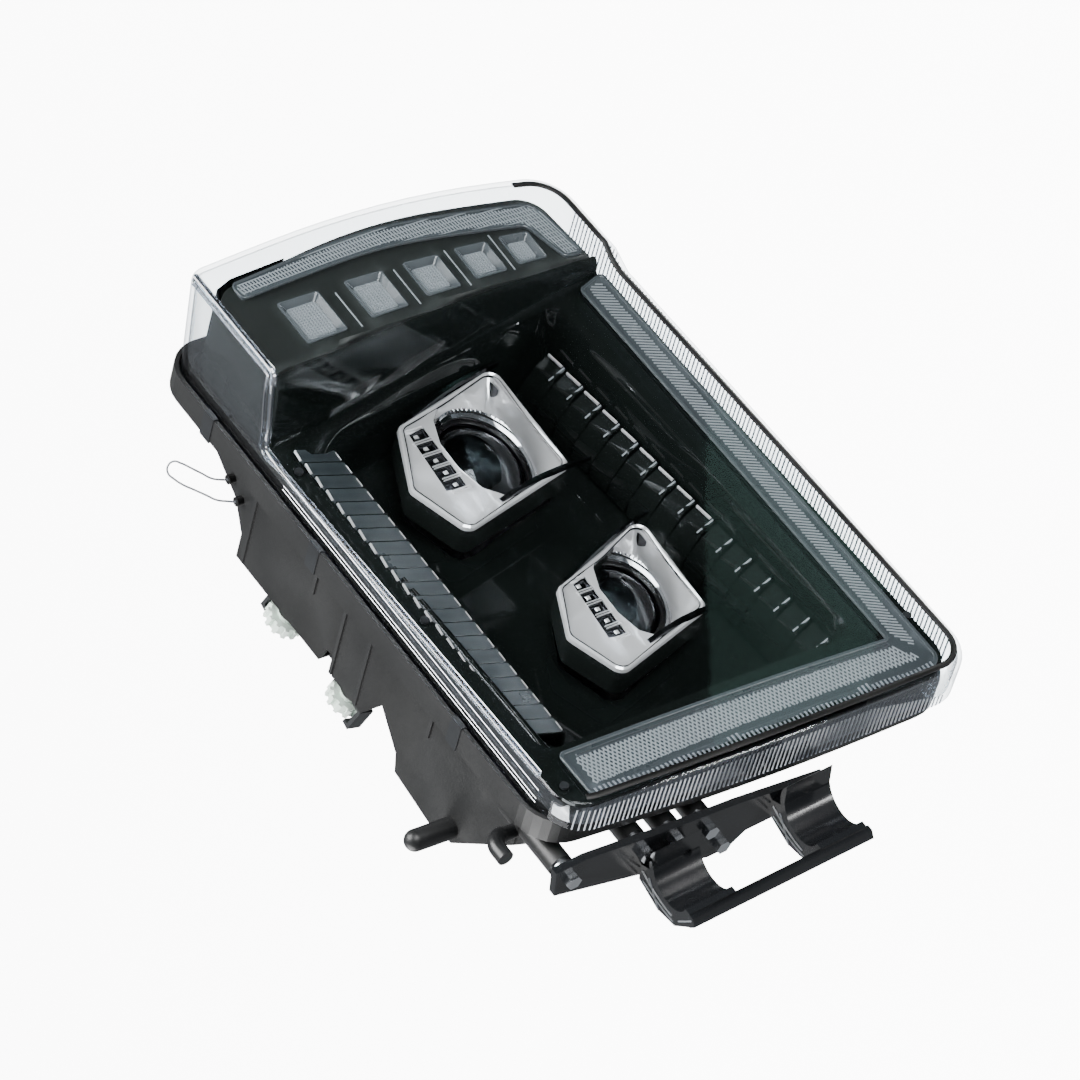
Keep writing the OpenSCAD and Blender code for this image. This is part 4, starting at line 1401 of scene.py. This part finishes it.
@dataclass
class DaytimeBar:
    """The L-shaped daytime running light guide along the bottom and the inner end."""

    bar: tuple = ((15, -30, 4), (54, -30, 4), (46, -303, 3), (408, -283, 3), (414, -304, 3),
                  (15, -328, 10))
    long_leg: tuple = ((50, -306, 2), (407, -286.5, 2), (410, -301, 2), (22, -322.5, 4))
    short_leg: tuple = ((20, -36, 2), (48, -36, 2), (41, -302, 2), (22, -318, 2))
    inner_line: tuple = ((47, -40, 2), (49, -40, 2), (43, -300, 2), (41, -300, 2))
    drop: float = 8.8

    def build(self) -> None:
        """Makes the guide, its border and its ribs."""
        guide, border, ribs = Solid(), Solid(), Solid()
        top = SHAPE.at(self.drop)
        loop = evened(rounded_loop(self.bar))
        guide.sheet(loop, [], top, 2.6, 8.0)
        guide.build("drl_guide_frosted", Finishes.FROSTED, replaces=["drl_light_guide"],
                    slot="light_guide", bevel=0.4)
        border.strip(loop, lift(loop, self.drop)[:, 2], 3.0, 1.1, 0.4, loop=True)
        inner = evened(rounded_loop(self.inner_line))
        border.strip(inner, lift(inner, self.drop)[:, 2], 1.0, 0.8, 0.2, loop=True)
        border.build("drl_guide_border", Finishes.SMOKED_EDGE, slot="light_guide")
        ribs_across(ribs, evened(rounded_loop(self.long_leg)), top, 2.6, 1.3, 0.55, 62)
        for angle in (30, -30):
            ribs_across(ribs, evened(rounded_loop(self.short_leg)), top, 3.0, 1.2, 0.5, angle)
        ribs.build("drl_guide_ribs", Finishes.FROSTED_RIB, slot="light_guide")


@dataclass
class TurnSignal:
    """The brow's charcoal panel, its five square optics and the light guide round them."""

    drop: float = 14.0
    edge: tuple = ((393, -14, 4), (488, -14, 20), (506, -150, 500), (492, -292, 22),
                   (420.5, -302, 8))
    bar: tuple = ((474, -30, 4), (489, -30, 4), (498, -150, 400), (484, -286, 16), (430, -296, 4),
                  (430, -280, 4), (466, -268, 10), (480, -150, 400))
    middles: tuple = (-67, -122, -171, -215, -254)
    along: tuple = (40, 36, 32, 29, 26)
    across: tuple = (33, 31, 29, 27, 25)
    first_a: float = 440.0
    floor_inset: float = 4.6
    floor_drop: float = 2.8
    wall: tuple = ((393.5, -60), (393.5, -18), (396, -14.4), (478, -14.4), (492, -20),
                   (497, -34), (499, -80))
    wall_thick: float = 2.0
    wall_foot: float = -8.0
    divides: tuple = (-95, -147, -193.5, -235)
    divide_start: float = 418.0
    divide_half: float = 18.0
    guide_drop: float = 11.2

    def square(self, i: int, inset: float) -> np.ndarray:
        """Outline of one optic.

        Args:
            i: its number, from the lens's top edge down.
            inset: how far inside its edge.

        Returns:
            N by 2, (a, b).
        """
        a, b = self.first_a + 2 * i, self.middles[i]
        x, y = self.along[i] / 2 - inset, self.across[i] / 2 - inset
        r = 2.2
        return rounded_loop(((a - x - 1, b + y, r), (a + x + 1, b + y, r), (a + x, b - y, r),
                             (a - x, b - y, r)), 4, 5)

    def skirt(self) -> None:
        """The black wall that closes the panel's top edge and outer end."""
        wall = np.array(self.wall, float)
        back = wall + (-self.wall_thick, -self.wall_thick)
        high = SHAPE.at(self.drop)(np.maximum(wall[:, 0], 400.0), wall[:, 1])
        low = np.full(len(wall), self.wall_foot)
        solid = Solid()
        solid.loft([np.column_stack([wall, high]), np.column_stack([wall, low]),
                    np.column_stack([back, low]), np.column_stack([back, high])],
                   closed=False, caps=False)
        solid.bar((404, -14.0, 6), (470, -13.8, 52), 0.8, 0.6, (0, 1, 0))
        solid.bar((452, -13.8, 0), (452, -13.8, 60), 0.7, 0.6, (0, 1, 0))
        solid.build("signal_panel_skirt", Finishes.BEZEL_GLOSS, slot="gloss_black", smooth=30)

    def panel(self) -> None:
        """The charcoal panel with its five square openings."""
        holes = [self.square(i, 0.2) for i in range(len(self.middles))]
        solid = Solid()
        solid.sheet(evened(rounded_loop(self.edge)), holes, SHAPE.at(self.drop), 2.6, 8.0)
        solid.build("signal_panel_satin", Finishes.PANEL_SATIN, replaces=["signal_bezel"],
                    slot="satin_black", bevel=0.5, smooth=30)

    def optics(self) -> None:
        """The five optics: a bevelled frame round each gridded floor."""
        frames, grid = Solid(), Solid()
        for i in range(len(self.middles)):
            rings = [lift(self.square(i, t), self.drop - z)
                     for t, z in ((-0.6, 0.0), (-0.6, 0.9), (0.4, 1.1),
                                  (self.floor_inset, -2.6), (self.floor_inset, -4.2))]
            frames.loft(rings, caps=False)
            floor = self.square(i, self.floor_inset)
            under = SHAPE.at(self.drop + self.floor_drop)
            grid.sheet(floor, [], under, 1.2, 8.0)
            for angle in (0, 90):
                ribs_across(grid, floor, under, 2.4, 1.0, 0.6, angle, 0.4)
        frames.build("signal_optic_frames", Finishes.SMOKED_EDGE, replaces=["signal_optics"],
                     slot="optic_clear", smooth=20)
        grid.build("signal_optic_grids", Finishes.FROSTED_RIB, slot="optic_clear")

    def dividers(self) -> None:
        """The fine raised lines between the optics."""
        top = SHAPE.at(self.drop)
        solid = Solid()
        for i, b in enumerate(self.divides):
            start = self.divide_start + 4 * i
            for first in (start, start + self.divide_half):
                p, q = np.array((first, first + self.divide_half + 0.4)), np.array((b, b))
                h = top(p, q)
                solid.bar((p[0], b, h[0]), (p[1], b, h[1]), 1.1, 0.6)
        solid.build("signal_dividers", Finishes.FROSTED_RIB, slot="optic_clear")

    def guide(self) -> None:
        """The frosted light guide round the optics, its border and its crossed ribs."""
        bar, edge, ribs = Solid(), Solid(), Solid()
        loop = evened(rounded_loop(self.bar))
        top = SHAPE.at(self.guide_drop)
        bar.sheet(loop, [], top, 2.6, 7.0)
        bar.build("signal_guide_frosted", Finishes.FROSTED, replaces=["signal_light_guide"],
                  slot="light_guide", bevel=0.4)
        edge.strip(loop, lift(loop, self.guide_drop)[:, 2], 2.2, 0.9, 0.3, loop=True)
        edge.build("signal_guide_border", Finishes.SMOKED_EDGE, slot="light_guide")
        ribs_across(ribs, loop, top, 2.6, 1.1, 0.5, 12, 2.6)
        ribs_across(ribs, loop, top, 4.2, 0.9, 0.45, 92, 2.6)
        ribs.build("signal_guide_ribs", Finishes.FROSTED_RIB, slot="light_guide")

    def build(self) -> None:
        """Makes the signal's pieces."""
        self.skirt()
        self.panel()
        self.optics()
        self.dividers()
        self.guide()


# ---------------------------------------------------------------- projectors


@dataclass
class Projector:
    """One projector: glass lens, black ring, bright shroud with its cells, and blades."""

    name: str
    body: Body
    mid: tuple
    radius: float
    rise: float
    rim: tuple
    opening: tuple
    cells: tuple
    blades: tuple
    well_room: float = 11.5
    rim_round: float = 9.0
    mouth_round: float = 4.0
    wall_foot: float = -16.0
    wall_top: float = 4.2
    deck: float = 5.4

    @staticmethod
    def low() -> "Projector":
        """The low beam.

        Returns:
            The projector at the outer end.
        """
        return Projector(name="low", body=Body.LOW, mid=(338.0, -163.0, -25.0), radius=38.0,
                         rise=18.0, rim=((34, 55), (62, -47), (-46, -43), (-75, 65), (-25, 82)),
                         opening=((44, 12), (57, -41), (-42, -38), (-56, 17), (-41, 31),
                                  (-18, 35.5), (8, 34.5), (30, 26)),
                         cells=(-36.0, 28.0, 5),
                         blades=(((-57, 26), (-46, -60)), ((40, 38), (62, -52))))

    @staticmethod
    def high() -> "Projector":
        """The high beam.

        Returns:
            The projector at the inner end.
        """
        return Projector(name="high", body=Body.HIGH, mid=(185.0, -181.0, -25.0), radius=32.0,
                         rise=15.0, rim=((8, 56), (45, -42), (-49, -36), (-79, 59), (-35, 76)),
                         opening=((28, 6), (39, -36), (-44, -32), (-60, 12), (-48, 24),
                                  (-28, 28), (-4, 27), (15, 19.5)),
                         cells=(-48.0, 11.0, 5),
                         blades=(((-60, 24), (-50, -52)), ((13, 44), (46, -50))))

    def seat(self) -> np.ndarray:
        """The lens seat in row-frame millimetres."""
        return LENS.row(np.array(self.mid))[0] / MM

    def circle(self, radius: float, back: float, angles: np.ndarray) -> np.ndarray:
        """Points round the optical axis.

        Args:
            radius: their distance from the axis.
            back: how far behind the lens seat they lie.
            angles: where they are round it.

        Returns:
            N by 3, in row-frame millimetres.
        """
        seat = self.seat()
        return np.column_stack([seat[0] + radius * np.cos(angles),
                                np.full(len(angles), seat[1] + back),
                                seat[2] + radius * np.sin(angles)])

    def lens_circle(self, radius: float, back: float, angles: np.ndarray) -> np.ndarray:
        """The same points in the lens frame."""
        row = self.circle(radius, back, angles)
        return row @ LENS.turn() + np.array(LENS.tube_mid)

    def glass(self) -> None:
        """The plano-convex lens and its stepped ring."""
        angles = np.linspace(0, 2 * math.pi, 73)[:-1]
        r, rise = self.radius - 0.1, self.rise
        ball = (r * r + rise * rise) / (2 * rise)
        rings = [self.circle(0.01, -rise - 2.3, angles)]
        for t in np.linspace(0, 1, 14)[1:]:
            x = r * t
            rings.append(self.circle(x, -rise - 2.3 + ball - math.sqrt(ball * ball - x * x),
                                     angles))
        rings += [self.circle(r, 0.6, angles), self.circle(r - 1, 0.7, angles),
                  self.circle(0.01, 0.7, angles)]
        solid = Solid()
        solid.loft(rings, caps=False)
        solid.build(f"{self.name}_glass_lens_ground", Finishes.LENS_GLASS, self.body,
                    [f"{self.name}_glass_lens"], "projector_glass", smooth=40, in_row=True)
        ring = Solid()
        profile = [(r - 1.0, -6.4), (r - 0.2, -7.0), (r + 3.2, -7.0), (r + 4.6, -5.6), (r + 6, -4),
                   (r + 6, 0.9), (r + 3.6, 0.9), (r + 3.6, -2.3), (r + 0.6, -2.3),
                   (r + 0.6, -4.8), (r - 1.0, -4.8)]
        ring.loft([self.circle(x, z, angles) for x, z in profile], caps=False, loop=True)
        ring.build(f"{self.name}_lens_ring_black", Finishes.RING_BLACK, self.body,
                   [f"{self.name}_lens_ring"], "ring_black", smooth=30, in_row=True)

    def local(self, points: Sequence, height: float = 0.0) -> np.ndarray:
        """Points given from the lens seat as (a, b), at a height, N by 3."""
        made = np.array(points, float)[:, :2] + np.array(self.mid[:2])
        return np.column_stack([made, np.full(len(made), height)])

    def corners(self, points: Sequence, radius: float) -> np.ndarray:
        """A rounded outline in the lens frame from corners given from the seat."""
        return evened(rounded_loop([(x + self.mid[0], y + self.mid[1], radius)
                                    for x, y in points]), 4.0)

    def well(self) -> np.ndarray:
        """The hole in the tray's floor that clears the projector as it nods.

        Returns:
            N by 2, (a, b).
        """
        centre = np.array(self.mid[:2])
        angles = np.linspace(-math.pi, math.pi, 91)[:-1]
        reach = np.zeros(len(angles))
        turns = np.linspace(0, 2 * math.pi, 181)
        wide = self.radius + self.well_room
        for loop in (evened(np.array(self.rim, float), 2.0) * 0.88,
                     self.lens_circle(wide, -8.0, turns)[:, :2] - centre,
                     self.lens_circle(wide, 4.0, turns)[:, :2] - centre):
            way = np.arctan2(loop[:, 1], loop[:, 0])
            for i, angle in enumerate(angles):
                near = np.abs(np.angle(np.exp(1j * (way - angle)))) < 0.06
                if near.any():
                    reach[i] = max(reach[i], np.linalg.norm(loop[near], axis=1).max())
        return centre + np.column_stack([reach * np.cos(angles), reach * np.sin(angles)])

    def cell_row(self) -> tuple[float, float]:
        """How far above the seat the row of cells begins and ends."""
        share = self.radius / 38
        return 39.0 * share, 55.0 * share

    def trench(self) -> np.ndarray:
        """Outline of the slot that holds the cells.

        Returns:
            N by 2, (a, b).
        """
        first, last, _ = self.cells
        a0, b0 = self.mid[:2]
        near, far = self.cell_row()
        return evened(np.array([(a0 + first, b0 + near), (a0 + last, b0 + near - 3),
                                (a0 + last - 3, b0 + far - 5), (a0 + first + 3, b0 + far + 1)]),
                      4.0)

    def windows(self, solid: Solid) -> None:
        """The bars between the cells, and the small step in each.

        Args:
            solid: the gatherer of the bright pieces.
        """
        first, last, count = self.cells
        a0, b0 = self.mid[:2]
        near, far = self.cell_row()
        middle_b = b0 + (near + far) / 2 - 1.5
        pitch = (last - first) / count
        for i in range(count + 1):
            a = a0 + first + i * pitch
            for shift in (-1.0, 1.0):
                solid.bar((a + shift, b0 + near - 2.0, 5.7), (a + shift, b0 + far - 2.5, 5.3), 0.6,
                          1.2)
            if i < count:
                middle = a + pitch / 2
                solid.bar((middle - 1.5, middle_b, 4.4), (middle + 1.5, middle_b, 4.4), 3.6, 0.7)

    def shroud(self) -> None:
        """The collar, in near-white film whose painted sheen stands in for chrome reflections: rim
        band, inner walls and the row of cells.
        """
        solid, dark, wall = Solid(), Solid(), Solid()
        centre = np.array(self.mid[:2])
        rim = self.corners(self.rim, self.rim_round)
        inner = self.corners(self.opening, self.mouth_round)

        def shrunk(t: float) -> np.ndarray:
            """The rim's loop moved in towards the middle."""
            away = rim - centre
            return centre + away * (1 - t / np.linalg.norm(away, axis=1))[:, None]

        band = shrunk(5.0)
        wall.loft([level(rim, self.wall_foot), level(rim, self.wall_top),
                   level(shrunk(1.6), self.wall_top), level(shrunk(1.6), self.wall_foot)],
                  caps=False, loop=True)
        wall.build(f"{self.name}_shroud_skirt", Finishes.BEZEL_GLOSS, self.body,
                   slot="gloss_black")
        solid.loft([level(rim, 4.3), level(rim, 5.0), level(shrunk(0.8), 7.0),
                    level(shrunk(2.4), 8.0), level(shrunk(3.8), 7.2), level(band, self.deck)],
                   caps=False)
        trench = self.trench()
        b0 = self.mid[1]
        solid.sheet(band, [inner, trench], lambda a, b: self.deck + 1.4 * np.clip(
            (40 - (b - b0)) / 14, 0, 1), 1.2, 6.0)
        dark.loft([level(trench, 5.0), level(trench, 3.0)], caps=False)
        dark.sheet(trench, [], lambda a, b: a * 0 + 3.8, 0.8, 6.0)
        self.windows(solid)
        dark.strip(shrunk(4.7), np.full(len(rim), 6.2), 0.9, 0.7, 0.3, loop=True)
        away = inner - centre
        angles = np.arctan2(away[:, 1], away[:, 0])
        deep = self.lens_circle(self.radius + 6.3, -5.5, angles)
        mouth = level(inner, 6.8)
        steps = [mouth, level(inner, 5.2)]
        steps += [mouth * (1 - t) + deep * t for t in (0.3, 0.55, 0.8, 1.0)]
        solid.loft(steps, caps=False)
        self.inset(dark, mouth, deep)
        dark.build(f"{self.name}_shroud_cell_tray", Finishes.SMOKED_CHROME, self.body,
                   slot="shroud_chrome", smooth=28)
        # the near-white film paints the collar's sheen in place of chrome reflections
        solid.build(f"{self.name}_shroud_film", Finishes.FILM, self.body,
                    [f"{self.name}_shroud"], "shroud_chrome", smooth=28)

    def inset(self, dark: Solid, mouth: np.ndarray, deep: np.ndarray) -> None:
        """The smoked teardrop let into the inner wall beside its deepest corner.

        Args:
            dark: the gatherer of the smoked pieces.
            mouth: the wall's upper loop.
            deep: the wall's lower loop, point for point.
        """
        corner = np.array(self.opening[1]) + np.array(self.mid[:2])
        start = int(np.argmin(np.linalg.norm(mouth[:, :2] - corner, axis=1)))
        count = len(mouth)
        # the way round that leads inwards from the corner
        beside = mouth[(start + 3) % count, :2] - corner
        away = 1 if np.linalg.norm(beside - (-10, 0)) < 9 else -1
        thick = np.array((0, 0.5, 0.5))
        rings = []
        for k in range(1, 7):
            i = (start + away * k) % count
            tall = 0.3 * math.sin(math.pi * k / 7)
            upper, lower = (mouth[i] * (1 - t) + deep[i] * t for t in (0.14, 0.14 + tall))
            rings.append(np.array([upper, lower, lower + thick, upper + thick]))
        dark.loft(rings)

    def arc(self) -> None:
        """The stepped and ticked chrome arc that follows the lens's lower side."""
        solid = Solid()
        angles = np.radians(np.linspace(-165, 28, 60))
        r = self.radius
        profile = [(r + 2.2, -7.4), (r + 2.6, -9.0), (r + 5.4, -10.4), (r + 5.8, -12.0),
                   (r + 7.6, -12.6), (r + 7.6, -7.2)]
        solid.loft([self.circle(x, z, angles) for x, z in profile], closed=False, caps=False,
                   loop=True)
        for t in np.radians(np.arange(-160, 26, 5.0)):
            p = self.circle(r + 5.7, -10.8, np.array([t]))[0]
            q = self.circle(r + 7.5, -12.9, np.array([t]))[0]
            solid.bar(tuple(p), tuple(q), 0.9, 0.8, (0, -1, 0))
        solid.build(f"{self.name}_shroud_arc", Finishes.CHROME, self.body, slot="shroud_chrome",
                    smooth=28, in_row=True)

    def blade(self) -> None:
        """The thin smoked blades whose tips run on past the collar."""
        solid = Solid()
        for start, end in self.blades:
            p, q = np.array(start, float), np.array(end, float)
            side = np.array((-(q - p)[1], (q - p)[0])) / np.linalg.norm(q - p)
            rings = []
            for t in np.linspace(0, 1, 12):
                middle = p + (q - p) * t + side * 2.5 * math.sin(math.pi * t)
                wide = 5.4 * (1 - t) ** 0.5 + 0.5
                rise = 7.2 + 3.4 * math.sin(math.pi * min(1, t * 0.8))
                rings.append(np.vstack([
                    self.local([middle - side * wide / 2], rise - 3.4),
                    self.local([middle - side * wide * 0.3], rise),
                    self.local([middle + side * wide * 0.3], rise + 0.5),
                    self.local([middle + side * wide / 2], rise - 2.6)]))
            solid.loft(rings)
        solid.build(f"{self.name}_shroud_blades", Finishes.SMOKED_CHROME, self.body,
                    slot="shroud_chrome", smooth=30)

    def build(self) -> None:
        """Makes the projector's pieces."""
        self.glass()
        self.shroud()
        self.arc()
        self.blade()
        for part, finish in (("frame", Finishes.CARRIER), ("barrel", Finishes.CARRIER),
                             ("heat_sink", Finishes.CAST), ("led_board", Finishes.BOARD)):
            dress(f"{self.name}_{part}", finish, 0.4)


# ---------------------------------------------------------------- housing, bracket and fittings


@dataclass
class HingeBracket:
    """The gloss bracket, with raised lines on its saddles' webs, painted pale grey as highlights."""

    lean: float = 10.0
    saddle_starts: tuple = (-74.0, 34.0)
    curves: tuple = (((30, -18), (14, -27), (-6, -27)), ((28, -27), (12, -31), (-8, -31)),
                     ((8, -37), (12, -31), (22, -17)), ((-27, -9), (-22, -15), (-14, -24)))

    def point(self, x: float, y: float, z: float) -> np.ndarray:
        """A tube-frame point in the lens frame.

        Args:
            x: its place across the tube.
            y: its place in front of the tube.
            z: its place down the tube.

        Returns:
            (a, b, h).
        """
        t = math.radians(90 - self.lean)
        return np.array(LENS.tube_mid) + np.array((x, y * math.cos(t) - z * math.sin(t),
                                                   y * math.sin(t) + z * math.cos(t)))

    def build(self) -> None:
        """Dresses the bracket and adds its lines, painted pale as highlights."""
        dress("hinge_bracket", Finishes.BRACKET, 1.0)
        solid = Solid()
        outward = tuple(self.point(0, 0, -1) - self.point(0, 0, 0))
        for low in self.saddle_starts:
            for start, bend, end in self.curves:
                p0, p1, p2 = (np.array(v, float) for v in (start, bend, end))
                spots = [p0 * (1 - t) ** 2 + p1 * 2 * t * (1 - t) + p2 * t * t
                         for t in np.linspace(0, 1, 9)]
                placed = [self.point(p[0], p[1], low + 0.2) for p in spots]
                for p, q in zip(placed, placed[1:]):
                    solid.bar(p, q, 1.5, 0.9, outward)
        solid.build("bracket_raised_lines", Finishes.BRACKET_LINE, slot="bracket_black")


@dataclass
class Fittings:
    """Finishes of everything else that is carried over."""

    plain: tuple = (
        ("rear_housing", Finishes.HOUSING_PP, 0.9),
        ("lens_sealant", Finishes.RUBBER, 0.0),
        ("signal_led_board", Finishes.BOARD, 0.0),
        ("drl_led_board", Finishes.BOARD, 0.0),
        ("low_cutoff_shield", Finishes.CARRIER, 0.0),
        ("low_adjuster_rod", Finishes.ZINC, 0.3),
        ("high_adjuster_rod", Finishes.ZINC, 0.3),
        ("low_adjuster_knob", Finishes.NYLON_WHITE, 0.5),
        ("high_adjuster_knob", Finishes.NYLON_WHITE, 0.5),
        ("adjuster_tabs", Finishes.NYLON_BLACK, 0.4),
        ("low_rear_cap", Finishes.NYLON_BLACK, 0.8),
        ("high_rear_cap", Finishes.NYLON_BLACK, 0.8),
        ("cap_seals", Finishes.RUBBER, 0.0),
        ("locating_peg", Finishes.NYLON_BLACK, 0.3),
        ("vent_elbow", Finishes.NYLON_BLACK, 0.4),
        ("bracket_spacers", Finishes.ZINC, 0.4),
        ("bracket_bolts", Finishes.ZINC, 0.4),
        ("led_driver", Finishes.CAST, 0.7),
        ("driver_screws", Finishes.ZINC, 0.3),
        ("main_connector", Finishes.NYLON_BLACK, 0.5),
        ("wire_grommets", Finishes.RUBBER, 0.2),
        ("bezel_screws", Finishes.SPRING, 0.2),
        ("lens_clips", Finishes.SPRING, 0.0),
    )

    def build(self) -> None:
        """Dresses each node."""
        for node, finish, bevel in self.plain:
            dress(node, finish, bevel)


def main() -> None:
    """Builds the studio, then the lamp from the wire outwards, and logs each piece."""
    logging.basicConfig(level=logging.INFO, format="%(message)s")
    parts = [Studio(), LinkWire(), Fittings(), HingeBracket(), MainBezel(), Louvre(), LowerTeeth(),
             DaytimeBar(), TurnSignal(), Projector.low(), Projector.high(), ClearLens()]
    for part in parts:
        before = set(bpy.data.objects.keys())
        part.build()
        for piece in sorted(set(bpy.data.objects.keys()) - before):
            LOG.info("%s made %s", type(part).__name__, piece)


if __name__ == "__main__":
    main()
